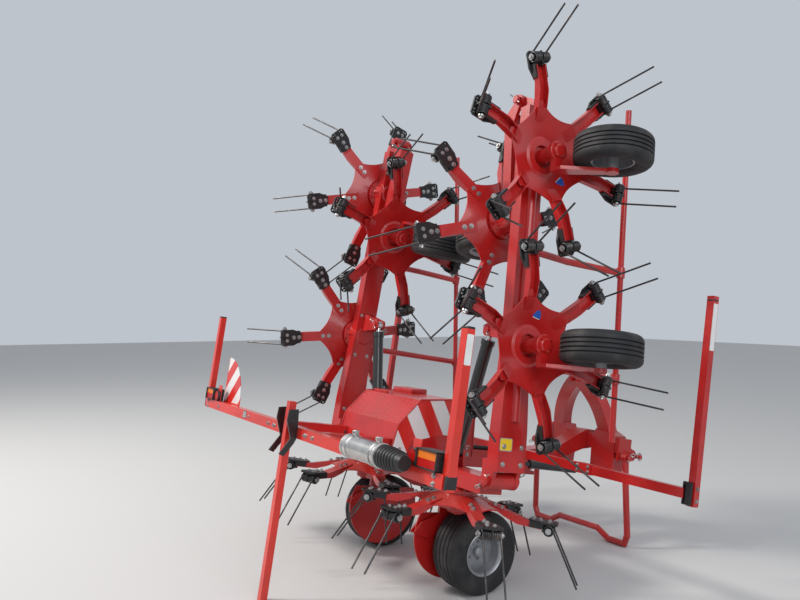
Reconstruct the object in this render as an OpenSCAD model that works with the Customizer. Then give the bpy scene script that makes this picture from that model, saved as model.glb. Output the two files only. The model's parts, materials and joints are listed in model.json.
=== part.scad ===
// Eight-rotor mounted hay tedder, folded for transport and parked on its stands.
// X is the machine's right, Y is forward to the headstock, Z is up. Millimetres.
// Pieces are drawn in the working frame (wings flat, rotor plane level), then folded
// about the wing hinges and pitched nose-down about the centre wheels.

/* [Layout] */
// Distance between neighbouring rotor axes
rotor_pitch = 1030; // [1000:5:1060]
// Rotor axes behind the centre wheel axle
rotor_y = -160; // [-180:5:-140]
// Height of the rotor arms' plane over the tread of the centre wheels
rotor_z = 468; // [455:1:480]
// Nose-down pitch of the parked machine, in degrees
park_pitch = 9; // [7:0.5:10]
// Shift of the whole machine that centres its plan box on the origin
origin_shift = -197.5; // [-400:0.5:400]

/* [Folding] */
// Half distance between the inner hinge pins
hinge_x = 840; // [838:1:850]
// Height of the inner hinge pins
hinge_z = 670; // [660:5:680]
// Lift of a wing from flat to folded, in degrees
fold_inner = 94; // [93:0.5:94]
// Distance of the outer hinge pin past the middle rotor's axis
outer_reach = 363; // [350:1:380]
// Height of the outer hinge pins over the rotor plane
outer_rise = 240; // [236:1:244]
// Turn of an outer section from flat to folded, in degrees
fold_outer = 184; // [183:0.5:184]
// Hinge pin diameter
hinge_pin_d = 40; // [30:1:50]
// Running clearance of pins in their bores, on the radius
pin_gap = 0.1; // [0.05:0.05:0.1]

/* [Rotors] */
// Radius of the dished rotor plate at its rim
dish_r = 292; // [270:1:300]
// Radius of the concave scallops between two arms
scallop_r = 320; // [280:5:360]
// Radius at which a scallop comes nearest the axis
waist_r = 226; // [210:1:240]
// Thickness of the dished plate
dish_t = 6; // [5:1:8]
// Outer radius of the hub ring, and its lower and upper faces over the arms' plane
hub_r = 96; // [90:1:100]
hub_low = 60; // [54:1:64]
hub_top = 80; // [78:1:84]
// Height of the dish's cone at its inner and outer edge over the arms' plane
cone_top = 66; // [60:1:68]
cone_low = 6; // [0:1:12]
// Radius at which the cone bends down to its rim, and the drop there
bend_r = 250; // [245:1:256]
bend_drop = 3; // [2:0.5:4]
// Bore of the rotor hub round the fixed wheel stem
hub_bore_r = 62; // [60:1:66]
// Arm width
arm_w = 66; // [58:1:70]
// Arm depth at its belly and at its tip, and the radius of the belly
arm_belly_h = 42; // [38:1:46]
arm_tip_h = 34; // [30:1:38]
belly_r = 335; // [325:1:345]
// Radius at which an arm's lower side leaves the dish
throat_r = 262; // [256:1:268]
// Radius at which an arm's channel opens
channel_r = 250; // [246:1:256]
// Radius of the arm's knee, where it levels out under the tine holder
arm_knee = 380; // [370:1:390]
// Radius at which an arm leaves the dish
arm_r0 = 170; // [165:1:185]
// Radius at which an arm ends
arm_r = 470; // [460:1:480]
// Wall of the pressed arm
arm_wall = 5; // [4:1:6]
// Width of a tine holder
holder_w = 112; // [110:1:130]
// Radial reach of a tine holder
holder_r0 = 398; // [390:1:410]
holder_r1 = 552; // [540:1:560]
// Thickness of a tine holder's plate
holder_t = 12; // [8:1:14]
// Height of a holder's upper face over the arms' plane
holder_top = 8; // [7:0.5:10]
// Wall of the holder beside the arm
holder_wall = 10; // [8:1:12]
// Diameter of the holes through a holder
holder_hole = 13; // [10:1:14]
// Tine wire diameter
tine_d = 10; // [8:0.5:11]
// Outer diameter of a tine coil, its number of turns and their pitch
coil_d = 58; // [54:1:64]
coil_turns = 5; // [4:1:5]
coil_pitch = 9.6; // [9:0.1:9.8]
// Place of the first turn beside the holder's middle rib
coil_gap = 9; // [8:0.5:10]
// Height of the coil's axis under the arms' plane
coil_z = -34; // [-36:1:-32]
// Distance of the prong's line from the coil's axis
prong_w = 22; // [21:0.5:23]
// Radius of the coil's axis from the rotor axis
coil_r = 508; // [500:1:515]
// Radial distance and drop of a tine tip
tip_r = 684; // [670:1:700]
tip_drop = 300; // [280:5:310]

/* [Wheels] */
// Centre tyre radius, width and the rim's radius
centre_tyre_r = 230; // [225:1:235]
centre_tyre_w = 206; // [190:1:215]
centre_rim_r = 118; // [110:1:125]
// Wing tyre radius, width and the rim's radius
wing_tyre_r = 204; // [198:1:208]
wing_tyre_w = 160; // [150:1:170]
wing_rim_r = 112; // [105:1:118]
// Wing wheel axles in front of their rotor axes
wing_axle_y = 188; // [180:1:195]
// Shoulder radius of the tyres
shoulder = 36; // [30:1:40]
// Gap between a tyre and its leg, and the leg's thickness
leg_gap = 16; // [14:1:20]
leg_t = 18; // [14:1:20]
// Fixed stem through a rotor's hub, and the flange and cross bar at its foot
stem_d = 80; // [74:1:90]
foot_flange_d = 104; // [100:1:112]
foot_flange_h = 36; // [30:1:38]
foot_bar_w = 56; // [50:1:60]
foot_bar_h = 32; // [28:1:36]
// Boss of a wheel's axle on its leg
axle_boss_d = 68; // [60:1:72]
// Reach of an axle past the middle of its wheel
axle_out = 32; // [28:1:40]
// Axle shaft diameter
axle_d = 30; // [25:1:35]
// Radius, forward place and height of the anti-wrap shields of the centre wheels
shield_r = 250; // [240:1:255]
shield_y = -75; // [-85:1:-65]
shield_z = 285; // [280:1:290]
// Thickness of a shield, and gap between the two plates of a height sector
shield_t = 8; // [6:1:10]
sector_gap = 34; // [30:1:40]

/* [Frame] */
// Wing beam width and height
beam_w = 120; // [100:5:130]
beam_h = 72; // [60:1:76]
// Height of the beams' centre line
beam_z = 632; // [625:1:640]
// Middle beam width and height
frame_w = 150; // [140:1:156]
frame_h = 90; // [80:2:96]
// Wing root box width at the inner hinge
root_w = 186; // [170:2:200]
// Thickness of the wings' hinge lugs
lug_t = 24; // [20:1:26]
// Width of the wing's tongue at the outer hinge, the lugs beside it, and their pin
outer_tongue = 60; // [50:1:64]
outer_lug = 22; // [18:1:24]
outer_pin_d = 32; // [28:1:36]
// Radius of the bosses round the outer hinge pins
outer_boss_r = 34; // [32:0.5:36]
// Gearbox flange over a rotor: diameter and thickness, then the body's radius and top
gear_d = 190; // [170:2:200]
gear_flange = 22; // [18:1:26]
gear_body_r = 77; // [70:1:82]
gear_cap_r = 55; // [48:1:60]
// Drawbar width and height
drawbar_w = 110; // [100:5:120]
drawbar_h = 110; // [100:5:120]
// Height of the drawbar's centre line
drawbar_z = 678; // [670:1:690]
// Side and place of the two rear arms that carry the light beam
rear_arm = 60; // [50:2:64]
rear_arm_x = 260; // [240:5:265]
// Power shaft stub: diameter, height and length, and its flange
pto_d = 34.9; // [34.8:0.1:35]
pto_z = 790; // [780:5:800]
pto_l = 90; // [80:1:100]
pto_flange_d = 110; // [100:1:120]
pto_flange_t = 24; // [20:1:28]
// Main gearbox width, length and height on the middle beam
gearbox_w = 220; // [200:5:240]
gearbox_l = 200; // [180:5:210]
gearbox_h = 250; // [230:5:260]
// Wing guard rail diameter
rail_d = 34; // [28:1:38]
// Distance of the headstock's swivel pin in front of the centre axle
swivel_y = 620; // [600:10:640]
// Swivel pin diameter
swivel_d = 50; // [40:2:60]

/* [Headstock] */
// Half distance between the lower link pins (category 2)
link_x = 412.5; // [400:0.5:440]
// Headstock cross tube: half length, side, and place
cross_x = 372; // [366:1:376]
cross_side = 100; // [90:1:110]
cross_y = 1310; // [1305:1:1315]
cross_z = 870; // [865:1:875]
// Arch over the cross tube: radius of its middle line, its width and depth, and its lean
arch_r = 500; // [495:1:505]
arch_w = 100; // [90:1:106]
arch_t = 80; // [70:1:88]
arch_lean = 15.4; // [15:0.1:16]
// Forward place and height of the lower link pins
link_y = 1375; // [1340:5:1400]
link_z = 815; // [805:1:825]
// Lower link pin diameter
link_pin_d = 28; // [28:0.5:29]
// Height of the top link bore over the lower pins
mast_h = 600; // [580:5:620]
// Top link bore diameter
top_bore_d = 25.5; // [25:0.5:26]
// Forward place of the top link bore
top_y = 1190; // [1150:5:1230]
// Damper body and rod diameters
damper_d = 56; // [50:1:62]
damper_rod_d = 24; // [20:1:28]
// Damper length to the end of its body, and depth of its bore
damper_l = 400; // [380:5:420]
damper_stroke = 150; // [145:1:160]
// Damper foot: place beside the swivel, and its eye height and pin
damper_x = 165; // [155:1:175]
damper_y = 590; // [585:1:595]
damper_z = 683; // [680:1:690]
damper_eye = 30; // [26:1:34]
damper_pin_d = 20; // [18:1:24]
// Distance from the foot pin to the damper's round body
damper_neck = 58; // [54:1:64]
// Place of the damper rod's eye on the headstock
rod_eye_x = 300; // [290:1:310]
rod_eye_y = 1130; // [1120:1:1140]

/* [Lift cylinders] */
// Place of the foot pin on the middle beam
lift_x = 450; // [440:5:460]
lift_z = 760; // [750:1:770]
// Place of the rod's pin on the flat wing
lift_wing_x = 1640; // [1620:5:1660]
lift_wing_z = 840; // [830:1:850]
// Cylinder body, rod and pin diameters
lift_d = 68; // [60:1:76]
lift_rod_d = 34; // [30:1:40]
lift_pin_d = 30; // [25:1:35]
// Length of the body, and start of its bore
lift_barrel_l = 660; // [640:5:670]
lift_bore_z = 100; // [90:5:110]
// Distance from the foot pin to the cylinder's round body
lift_neck = 48; // [46:1:56]
// Width of an eye, and its side clearance at the open pivot
lift_eye = 36; // [30:1:40]
lift_slack = 2; // [1:0.5:3]

/* [Guards and lamps] */
// Half width of the transport guards
guard_x = 1470; // [1450:5:1490]
// Side of the square guard tube
guard_tube = 40; // [35:1:45]
// Rear light beam place, height and tube side
light_y = -970; // [-990:5:-950]
light_z = 752; // [740:1:765]
light_tube = 60; // [50:1:70]
// Rear guard bar length over the light beam
rear_bar_h = 615; // [580:5:640]
// Front guard arm: forward place, side, half length; and guard bar length
front_y = 516; // [500:2:524]
front_arm = 50; // [46:1:56]
front_reach = 1462; // [1450:1:1470]
front_bar_h = 1000; // [900:10:1050]
// Half width of the hood
hood_x = 310; // [300:5:330]
// Sheet thickness of the hood
hood_t = 3; // [2:0.5:4]
// Hood outline: rear edge, front edge, height of its rear bend and of its top
hood_rear = 530; // [520:2:540]
hood_front = 60; // [50:2:66]
hood_bend_z = 870; // [860:5:880]
hood_top_z = 1042; // [1038:1:1060]
// Outer edge and radius of the quarter-round warning board
board_x = 1275; // [1260:5:1280]
board_r = 310; // [290:5:320]
// Middle of the rear lamps, and lamp height and width
lamp_x = 1362; // [1355:1:1368]
lamp_h = 80; // [70:1:90]
lamp_w = 150; // [140:1:156]
// Round reflector beside each lamp: its place and diameter
reflector_x = 1242; // [1236:1:1248]
reflector_d = 62; // [56:1:66]
// Canister diameter, body length and place
canister_d = 104; // [95:1:112]
canister_l = 310; // [280:5:340]
canister_cap_l = 170; // [150:5:180]
canister_x = 800; // [780:5:820]
canister_y = -1060; // [-1070:1:-1058]
canister_z = 790; // [780:1:800]

/* [Stands] */
// Half width of the front parking stand
stand_x = 430; // [400:5:460]
// Diameter of the stand's tube
stand_d = 42; // [38:1:48]
// Length of the skid at each foot, with its slope, and rise of the tube between the feet
stand_skid = 140; // [120:5:160]
stand_slope = 100; // [80:5:120]
stand_rise = 50; // [40:5:70]
// Side of the rear stand's tube
rear_stand = 40; // [36:1:44]
// Place of the rear stand right of the middle
rear_stand_x = 35; // [20:5:60]
// Height of the rear stand's pivot
rear_pivot_z = 846; // [836:1:856]
// Pivot of the front stand on the headstock
stand_y = 1262; // [1256:1:1268]
stand_z = 800; // [790:1:810]
// Pivot diameters of the front and the rear stand
stand_pin_d = 24; // [20:1:28]
rear_pin_d = 16; // [14:1:20]

/* [Hidden] */
$fn = 48;

paint = [0.78, 0.09, 0.07];
signal = [0.93, 0.2, 0.1];
dark = [0.08, 0.08, 0.09];
steel = [0.6, 0.61, 0.62];
rubber = [0.1, 0.1, 0.1];
// Gap left between pieces that seat on each other
seat = 0.3;
// Places of the holes through a holder, from its middle
holder_holes = [22, 40];
// Ends of the guard rail over the flat wing, and the places of its posts as shares of its length
rail_near = [hinge_x + 255, 715, 710];
rail_end = [3030, 470, 510];
rail_posts = [0.19, 0.51];

// Rotor places: name column is the row number, 0 is the left outer one.
// Columns: steps from the middle in pitches, turn of the arms in degrees.
arm_step = 60;
turn_a = 48;
turn_b = 42;
ROTORS = [
    [-3.5, turn_b], [-2.5, turn_a], [-1.5, turn_b], [-0.5, turn_a],
    [0.5, turn_b], [1.5, turn_a], [2.5, turn_b], [3.5, turn_a]
];
outer_x = 2.5 * rotor_pitch + outer_reach;
outer_z = rotor_z + outer_rise;
front_z = drawbar_z + drawbar_h / 2 + seat + front_arm / 2;
front_bar_x = front_reach + 8 + guard_tube / 2;
rear_pivot_y = light_y - light_tube / 2 - rear_stand / 2 - 4;
lamp_z = light_z + light_tube / 2 + seat;

// Places in the parked frame of a point given in the working frame
function parked_y(y, z) = y * cos(park_pitch) + (z - centre_tyre_r) * sin(park_pitch);
function parked_z(y, z) = centre_tyre_r - y * sin(park_pitch) + (z - centre_tyre_r) * cos(park_pitch);

module parked() {
    translate([0, origin_shift, centre_tyre_r]) rotate([-park_pitch, 0, 0])
        translate([0, 0, -centre_tyre_r]) children();
}

module fold_about(x, z, angle) {
    translate([x, 0, z]) rotate([0, -angle, 0]) translate([-x, 0, -z]) children();
}

// A piece of a right wing, or of a left one when side is -1
module wing_place(side) {
    parked() mirror([side < 0 ? 1 : 0, 0, 0]) fold_about(hinge_x, hinge_z, fold_inner) children();
}

module outer_place(side) {
    wing_place(side) fold_about(outer_x, outer_z, fold_outer) children();
}

// Carries children from a rotor's own axis to its folded place
module rotor_place(row) {
    side = ROTORS[row][0] < 0 ? -1 : 1;
    steps = abs(ROTORS[row][0]);
    turn = side < 0 ? 180 - ROTORS[row][1] : ROTORS[row][1];
    if (steps > 3)
        outer_place(side) translate([steps * rotor_pitch, rotor_y, rotor_z]) rotate(turn) children();
    else if (steps > 1)
        wing_place(side) translate([steps * rotor_pitch, rotor_y, rotor_z]) rotate(turn) children();
    else
        parked() mirror([side < 0 ? 1 : 0, 0, 0])
            translate([steps * rotor_pitch, rotor_y, rotor_z]) rotate(turn) children();
}

// Carries a wheel, drawn on the X axis, to its axle
module wheel_place(row) {
    side = ROTORS[row][0] < 0 ? -1 : 1;
    steps = abs(ROTORS[row][0]);
    if (steps > 3)
        outer_place(side) translate([steps * rotor_pitch, rotor_y + wing_axle_y, wing_tyre_r]) children();
    else if (steps > 1)
        wing_place(side) translate([steps * rotor_pitch, rotor_y + wing_axle_y, wing_tyre_r]) children();
    else
        parked() mirror([side < 0 ? 1 : 0, 0, 0])
            translate([steps * rotor_pitch, 0, centre_tyre_r]) children();
}

module box(size, at) {
    translate(at) cube(size, center = true);
}

// Round bar between two points of space
module rod(a, b, d) {
    v = b - a;
    length = norm(v);
    translate(a) rotate([0, acos(v[2] / length), atan2(v[1], v[0])]) cylinder(d = d, h = length);
}

// Round tube through a list of points, with a ball at each bend
module tube_path(points, d) {
    for (i = [0:len(points) - 2])
        rod(points[i], points[i + 1], d);
    for (i = [1:len(points) - 2])
        translate(points[i]) sphere(d = d + 2);
}

// Plate of a side outline given in (y, z), from x0 to x1
module side_plate(outline, x0, x1) {
    translate([x0, 0, 0]) rotate([90, 0, 90]) linear_extrude(x1 - x0) polygon(outline);
}

// Plate of a front outline given in (x, z), from y0 to y1
module front_plate(outline, y0, y1) {
    translate([0, y1, 0]) rotate([90, 0, 0]) linear_extrude(y1 - y0) polygon(outline);
}

// Rotor: dished plate with six scallops and six pressed channel arms
cone_r = 112;
function cone_z(r) = cone_top + (cone_low - cone_top) * (r - cone_r) / (dish_r - cone_r);
arm_root_z = cone_z(arm_r0) + dish_t + 3;
function arm_top(r) = r > arm_knee
    ? -2.5 * (r - arm_knee) / (arm_r - arm_knee) + 0.5
    : 0.5 + (arm_root_z - 0.5) * (arm_knee - r) / (arm_knee - arm_r0);

module dish_plate() {
    difference() {
        rotate_extrude() polygon([
            [hub_bore_r, hub_low], [hub_r, hub_low], [cone_r, cone_top], [bend_r, cone_z(bend_r) - bend_drop],
            [dish_r, cone_low - bend_drop], [dish_r, cone_low - bend_drop + dish_t],
            [bend_r + 1, cone_z(bend_r) - bend_drop + dish_t],
            [cone_r + 1, cone_top + dish_t], [hub_r, cone_top + dish_t], [hub_r, hub_top],
            [hub_bore_r, hub_top]
        ]);
        for (i = [0:5])
            rotate(arm_step * (i + 0.5)) translate([waist_r + scallop_r, 0, -50])
                cylinder(r = scallop_r, h = 150);
    }
}

module rotor_arm() {
    difference() {
        front_plate([
            [arm_r0, arm_root_z], [arm_knee, 0.5], [arm_r, arm_top(arm_r)],
            [arm_r, arm_top(arm_r) - arm_tip_h], [belly_r, arm_top(belly_r) - arm_belly_h],
            [throat_r, arm_top(throat_r) - arm_tip_h], [arm_r0, cone_z(arm_r0) + 1]
        ], -arm_w / 2, arm_w / 2);
        front_plate([
            [channel_r, arm_top(channel_r) - arm_wall], [arm_knee, 0.5 - arm_wall],
            [arm_r + 1, arm_top(arm_r + 1) - arm_wall], [arm_r + 1, -90], [channel_r, -90]
        ], arm_wall - arm_w / 2, arm_w / 2 - arm_wall);
    }
}

module dish(row) {
    color(paint) rotor_place(row) {
        dish_plate();
        for (i = [0:5])
            rotate(arm_step * i) rotor_arm();
    }
}

// Coil spring tines: two coils side by side in a black holder, one prong from each
function prong_reach() = norm([tip_r - coil_r, tip_drop + coil_z]);
function prong_lean() = atan2(tip_r - coil_r, tip_drop + coil_z) - asin(prong_w / prong_reach());

module tine_coil(side) {
    last = coil_gap + (coil_turns - 1) * coil_pitch;
    lean = prong_lean();
    translate([coil_r, 0, coil_z]) rotate([-90 * side, 0, 0]) rotate_extrude()
        for (i = [0:coil_turns - 1])
            translate([coil_d / 2 - tine_d / 2, coil_gap + i * coil_pitch]) circle(d = tine_d);
    translate([coil_r + prong_w * cos(lean), side * last, coil_z + prong_w * sin(lean)])
        rotate([0, 180 - lean, 0]) cylinder(d = tine_d, h = sqrt(pow(prong_reach(), 2) - pow(prong_w, 2)));
}

module tine_holder() {
    half = holder_w / 2;
    cheek = arm_w / 2 + holder_wall;
    difference() {
        union() {
            translate([0, 0, holder_top - holder_t]) linear_extrude(holder_t) polygon([
                [holder_r0, -30], [holder_r0 + 62, -half], [holder_r1 - 14, -half], [holder_r1, 14 - half],
                [holder_r1, half - 14], [holder_r1 - 14, half], [holder_r0 + 62, half], [holder_r0, 30]
            ]);
            translate([holder_r0 + 6, -cheek, -30]) cube([arm_r + 7 - holder_r0 - 6, 2 * cheek, 30]);
            translate([arm_r + 1, -coil_gap + tine_d / 2 - 1, coil_z - 18])
                cube([coil_r + 30 - arm_r, 2 * (coil_gap - tine_d / 2 + 1), 18 - coil_z]);
        }
        front_plate([
            [holder_r0 - 5, arm_top(holder_r0 - 5) + seat], [arm_r + seat, arm_top(arm_r) + seat],
            [arm_r + seat, -90], [holder_r0 - 5, -90]
        ], -arm_w / 2 - seat, arm_w / 2 + seat);
        for (e = [-1, 1], y = holder_holes)
            translate([holder_r1 - 15, e * y, 0]) cylinder(d = holder_hole, h = 60, center = true);
    }
}

module tines(row) {
    color(dark) rotor_place(row) for (i = [0:5]) rotate(arm_step * i) {
        tine_holder();
        for (side = [-1, 1])
            tine_coil(side);
    }
}

// Wheels
function tyre_r(row) = abs(ROTORS[row][0]) < 1 ? centre_tyre_r : wing_tyre_r;
function tyre_w(row) = abs(ROTORS[row][0]) < 1 ? centre_tyre_w : wing_tyre_w;
function rim_r(row) = abs(ROTORS[row][0]) < 1 ? centre_rim_r : wing_rim_r;

module tyre(row) {
    r = tyre_r(row);
    w = tyre_w(row);
    bead = rim_r(row);
    color(rubber) wheel_place(row) rotate([0, 90, 0]) rotate_extrude() {
        polygon([
            [bead, 18 - w / 2], [bead + 26, -w / 2], [r - shoulder, -w / 2],
            [r - shoulder, w / 2], [bead + 26, w / 2], [bead, w / 2 - 18]
        ]);
        translate([bead, shoulder - w / 2]) square([r - bead, w - 2 * shoulder]);
        for (e = [-1, 1])
            translate([r - shoulder, e * (w / 2 - shoulder)]) circle(shoulder);
    }
}

module rim(row) {
    w = tyre_w(row);
    r = rim_r(row) - seat;
    color(steel) wheel_place(row) rotate([0, 90, 0]) rotate_extrude() {
        translate([r - 10, 20 - w / 2]) square([10, w - 40]);
        translate([axle_d / 2 + 8, 6]) square([r - axle_d / 2 - 14, 8]);
        translate([axle_d / 2 + pin_gap, seat - leg_gap - w / 2])
            square([14, w / 2 + leg_gap + axle_out - seat]);
        translate([0, axle_out + seat]) square([axle_d / 2 + 14, 8]);
        translate([axle_d / 2 + pin_gap, axle_out - 1]) square([14 - pin_gap, 2 + seat]);
    }
}

// Fixed stem through the rotor hub, and the leg beside the tyre down to the axle
module wheel_leg(x, r, w, ahead, low, top) {
    inner = -w / 2 - leg_gap - leg_t;
    translate([x, rotor_y, 0]) {
        translate([0, 0, low]) cylinder(d = stem_d, h = top - low);
        translate([0, 0, low]) cylinder(d = foot_flange_d, h = foot_flange_h);
        translate([inner, -foot_bar_w / 2, low]) cube([-inner, foot_bar_w, foot_bar_h]);
        side_plate([
            [-foot_bar_w / 2, low + foot_bar_h], [foot_bar_w / 2 + 2, low + foot_bar_h],
            [ahead + axle_boss_d / 2 - 2, r + 14], [ahead + axle_boss_d / 2 - 10, r - 24],
            [ahead + 6 - axle_boss_d / 2, r - 24], [ahead - 2 - axle_boss_d / 2, r + 6],
            [-foot_bar_w / 2, low - 44]
        ], inner, inner + leg_t);
        translate([inner - 4, ahead, r]) rotate([0, 90, 0]) cylinder(d = axle_boss_d, h = leg_t + 4);
        translate([inner, ahead, r]) rotate([0, 90, 0]) cylinder(d = axle_d, h = axle_out - inner);
    }
}

// Gearbox over a rotor
module gear_unit(x) {
    translate([x, rotor_y, 0]) rotate_extrude() polygon([
        [0, rotor_z + hub_top + seat], [gear_d / 2, rotor_z + hub_top + seat],
        [gear_d / 2, rotor_z + hub_top + gear_flange],
        [gear_body_r + 4, rotor_z + hub_top + gear_flange + 12],
        [gear_body_r, beam_z + 20], [gear_cap_r, beam_z + beam_h / 2 + 10], [0, beam_z + beam_h / 2 + 10]
    ]);
}

module wing_leg(steps) {
    wheel_leg(steps * rotor_pitch, wing_tyre_r, wing_tyre_w, wing_axle_y, rotor_z - 66, beam_z);
}

// Centre frame with its gearboxes, hinge tongues and pins, drawbar and rear arms
module centre_frame() {
    color(paint) parked() {
        box([2 * (hinge_x - 60), frame_w, frame_h], [0, rotor_y, beam_z]);
        for (side = [-1, 1]) mirror([side < 0 ? 1 : 0, 0, 0]) {
            gear_unit(rotor_pitch / 2);
            hinge_tongue();
            lift_foot();
            rear_carrier();
            damper_foot();
        }
        box([gearbox_w, gearbox_l, gearbox_h], [0, rotor_y, beam_z + 90]);
        translate([0, rotor_y + gearbox_l / 2, pto_z]) rotate([-90, 0, 0]) {
            cylinder(d = pto_flange_d, h = pto_flange_t);
            translate([0, 0, pto_flange_t]) cylinder(d = pto_d, h = pto_l);
        }
        difference() {
            union() {
                box([drawbar_w, swivel_y - rotor_y, drawbar_h], [0, (swivel_y + rotor_y) / 2, drawbar_z]);
                translate([0, swivel_y, drawbar_z]) cylinder(d = drawbar_w, h = drawbar_h, center = true);
            }
            translate([0, swivel_y, drawbar_z])
                cylinder(d = swivel_d + 2 * pin_gap, h = drawbar_h + 2, center = true);
        }
    }
}

module rear_carrier() {
    back = light_y + light_tube / 2 + seat;
    box([rear_arm, rotor_y + 60 - back, rear_arm], [rear_arm_x, (rotor_y + 60 + back) / 2, light_z]);
    box([rear_arm, 100, light_z - beam_z], [rear_arm_x, rotor_y, (light_z + beam_z) / 2]);
}

module hinge_tongue() {
    tongue = root_w - 2 * lug_t - 2 * seat;
    translate([hinge_x, rotor_y, hinge_z]) rotate([90, 0, 0]) cylinder(r = 44, h = tongue, center = true);
    box([62, tongue, 88], [hinge_x - 31, rotor_y, hinge_z]);
    translate([hinge_x, rotor_y, hinge_z]) rotate([90, 0, 0])
        cylinder(d = hinge_pin_d, h = root_w + 12, center = true);
    for (e = [-1, 1])
        translate([hinge_x, rotor_y + e * (root_w / 2 + seat + 5), hinge_z]) rotate([90, 0, 0])
            cylinder(d = hinge_pin_d + 20, h = 10, center = true);
}

module lift_foot() {
    for (e = [-1, 1])
        front_plate([
            [lift_x - 50, beam_z], [lift_x + 50, beam_z], [lift_x + 34, lift_z], [lift_x + 20, lift_z + 30],
            [lift_x - 20, lift_z + 30], [lift_x - 34, lift_z]
        ], rotor_y + e * (lift_eye / 2 + seat + 6) - 6, rotor_y + e * (lift_eye / 2 + seat + 6) + 6);
    translate([lift_x, rotor_y, lift_z]) rotate([90, 0, 0])
        cylinder(d = lift_pin_d, h = lift_eye + 40, center = true);
}

module damper_foot() {
    for (e = [-1, 1])
        box([damper_x + 26 - drawbar_w / 2 + 4, 52, 12],
            [(damper_x + 26 + drawbar_w / 2 - 4) / 2, damper_y, damper_z + e * (damper_eye / 2 + seat + 6)]);
    translate([damper_x, damper_y, damper_z]) cylinder(d = damper_pin_d, h = damper_eye + 30, center = true);
}

// Wheel legs of the centre wheels with anti-wrap shields and height sectors
module wheel_legs() {
    inner = centre_tyre_w / 2 + leg_gap + leg_t;
    color(paint) parked() for (side = [-1, 1]) mirror([side < 0 ? 1 : 0, 0, 0]) {
        wheel_leg(rotor_pitch / 2, centre_tyre_r, centre_tyre_w, -rotor_y, rotor_z - 30, rotor_z + hub_top);
        difference() {
            translate([rotor_pitch / 2 - inner - shield_t, shield_y, shield_z]) rotate([0, 90, 0])
                cylinder(r = shield_r, h = shield_t);
            box([40, 700, 300], [rotor_pitch / 2 - inner - shield_t / 2, shield_y, rotor_z + 82]);
        }
        for (x = [-12, sector_gap - 12])
            side_plate([
                [-190, 398], [-120, 398], [-120, 330], [-250, 262], [-345, 290], [-300, 350]
            ], rotor_pitch / 2 - inner - x, rotor_pitch / 2 - inner - x + 6);
        translate([rotor_pitch / 2 - inner - 22, -300, 318]) rotate([0, 90, 0]) cylinder(d = 22, h = 44);
    }
}

// Folding wings: root box, fork, beam, gearboxes, legs and the front guard tube
module wing(side) {
    fork_x = hinge_x + 50;
    mid = 1.5 * rotor_pitch;
    far = 2.5 * rotor_pitch;
    color(paint) wing_place(side) {
        intersection() {
            front_plate([
                [fork_x, beam_z - 42], [fork_x + 240, beam_z - 42], [mid, beam_z - beam_h / 2],
                [mid, beam_z + beam_h / 2], [fork_x + 240, beam_z + 42], [fork_x, beam_z + 42]
            ], rotor_y - root_w / 2, rotor_y + root_w / 2);
            translate([0, rotor_y, 0]) linear_extrude(1000) polygon([
                [fork_x, -root_w / 2], [fork_x + 200, -root_w / 2], [mid, -beam_w / 2 - 12],
                [mid, beam_w / 2 + 12], [fork_x + 200, root_w / 2], [fork_x, root_w / 2]
            ]);
        }
        for (e = [-1, 1])
            hinge_lug(rotor_y + e * (root_w - lug_t) / 2);
        box([far - mid, beam_w + 20, beam_h], [(far + mid) / 2, rotor_y, beam_z]);
        box([outer_x - 60 - far, beam_w, beam_h], [(outer_x - 60 + far) / 2, rotor_y, beam_z]);
        difference() {
            union() {
                front_plate([
                    [outer_x - 150, beam_z - beam_h / 2 + 4], [outer_x - 20, beam_z - beam_h / 2 + 4],
                    [outer_x + 30, outer_z - 10], [outer_x, outer_z + 10], [outer_x - 30, outer_z]
                ], rotor_y - outer_tongue / 2, rotor_y + outer_tongue / 2);
                translate([outer_x, rotor_y, outer_z]) rotate([90, 0, 0])
                    cylinder(r = outer_boss_r, h = outer_tongue, center = true);
            }
            translate([outer_x, rotor_y, outer_z]) rotate([90, 0, 0])
                cylinder(d = outer_pin_d + 2 * pin_gap, h = 400, center = true);
        }
        for (steps = [1.5, 2.5]) {
            gear_unit(steps * rotor_pitch);
            wing_leg(steps);
        }
        for (e = [-1, 1])
            lift_ear(e);
        guard_rail();
    }
}

module hinge_lug(at) {
    difference() {
        union() {
            front_plate([
                [hinge_x, hinge_z - 38], [hinge_x + 110, beam_z - 36], [hinge_x + 110, hinge_z + 40],
                [hinge_x, hinge_z + 40]
            ], at - lug_t / 2, at + lug_t / 2);
            translate([hinge_x, at, hinge_z]) rotate([90, 0, 0]) cylinder(r = 46, h = lug_t, center = true);
        }
        translate([hinge_x, at, hinge_z]) rotate([90, 0, 0])
            cylinder(d = hinge_pin_d + 2 * pin_gap, h = lug_t + 2, center = true);
    }
}

module lift_ear(e) {
    at = rotor_y + e * (lift_eye / 2 + lift_slack + 6);
    difference() {
        front_plate([
            [lift_wing_x - 70, beam_z], [lift_wing_x + 70, beam_z], [lift_wing_x + 32, lift_wing_z + 20],
            [lift_wing_x + 16, lift_wing_z + 34], [lift_wing_x - 16, lift_wing_z + 34],
            [lift_wing_x - 32, lift_wing_z + 20]
        ], at - 6, at + 6);
        translate([lift_wing_x, at, lift_wing_z]) rotate([90, 0, 0])
            cylinder(d = lift_pin_d, h = 40, center = true);
    }
}

// Rail ahead of the wing's rotors on two bent posts
module guard_rail() {
    rod(rail_near, rail_end, rail_d);
    for (share = rail_posts) {
        post = rail_near + (rail_end - rail_near) * share;
        tube_path([[post[0], rotor_y, beam_z], [post[0], 200, beam_z + 30], post], rail_d + 6);
        translate(post) rotate([0, 90, 0]) cylinder(d = rail_d + 16, h = 60, center = true);
    }
}

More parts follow.
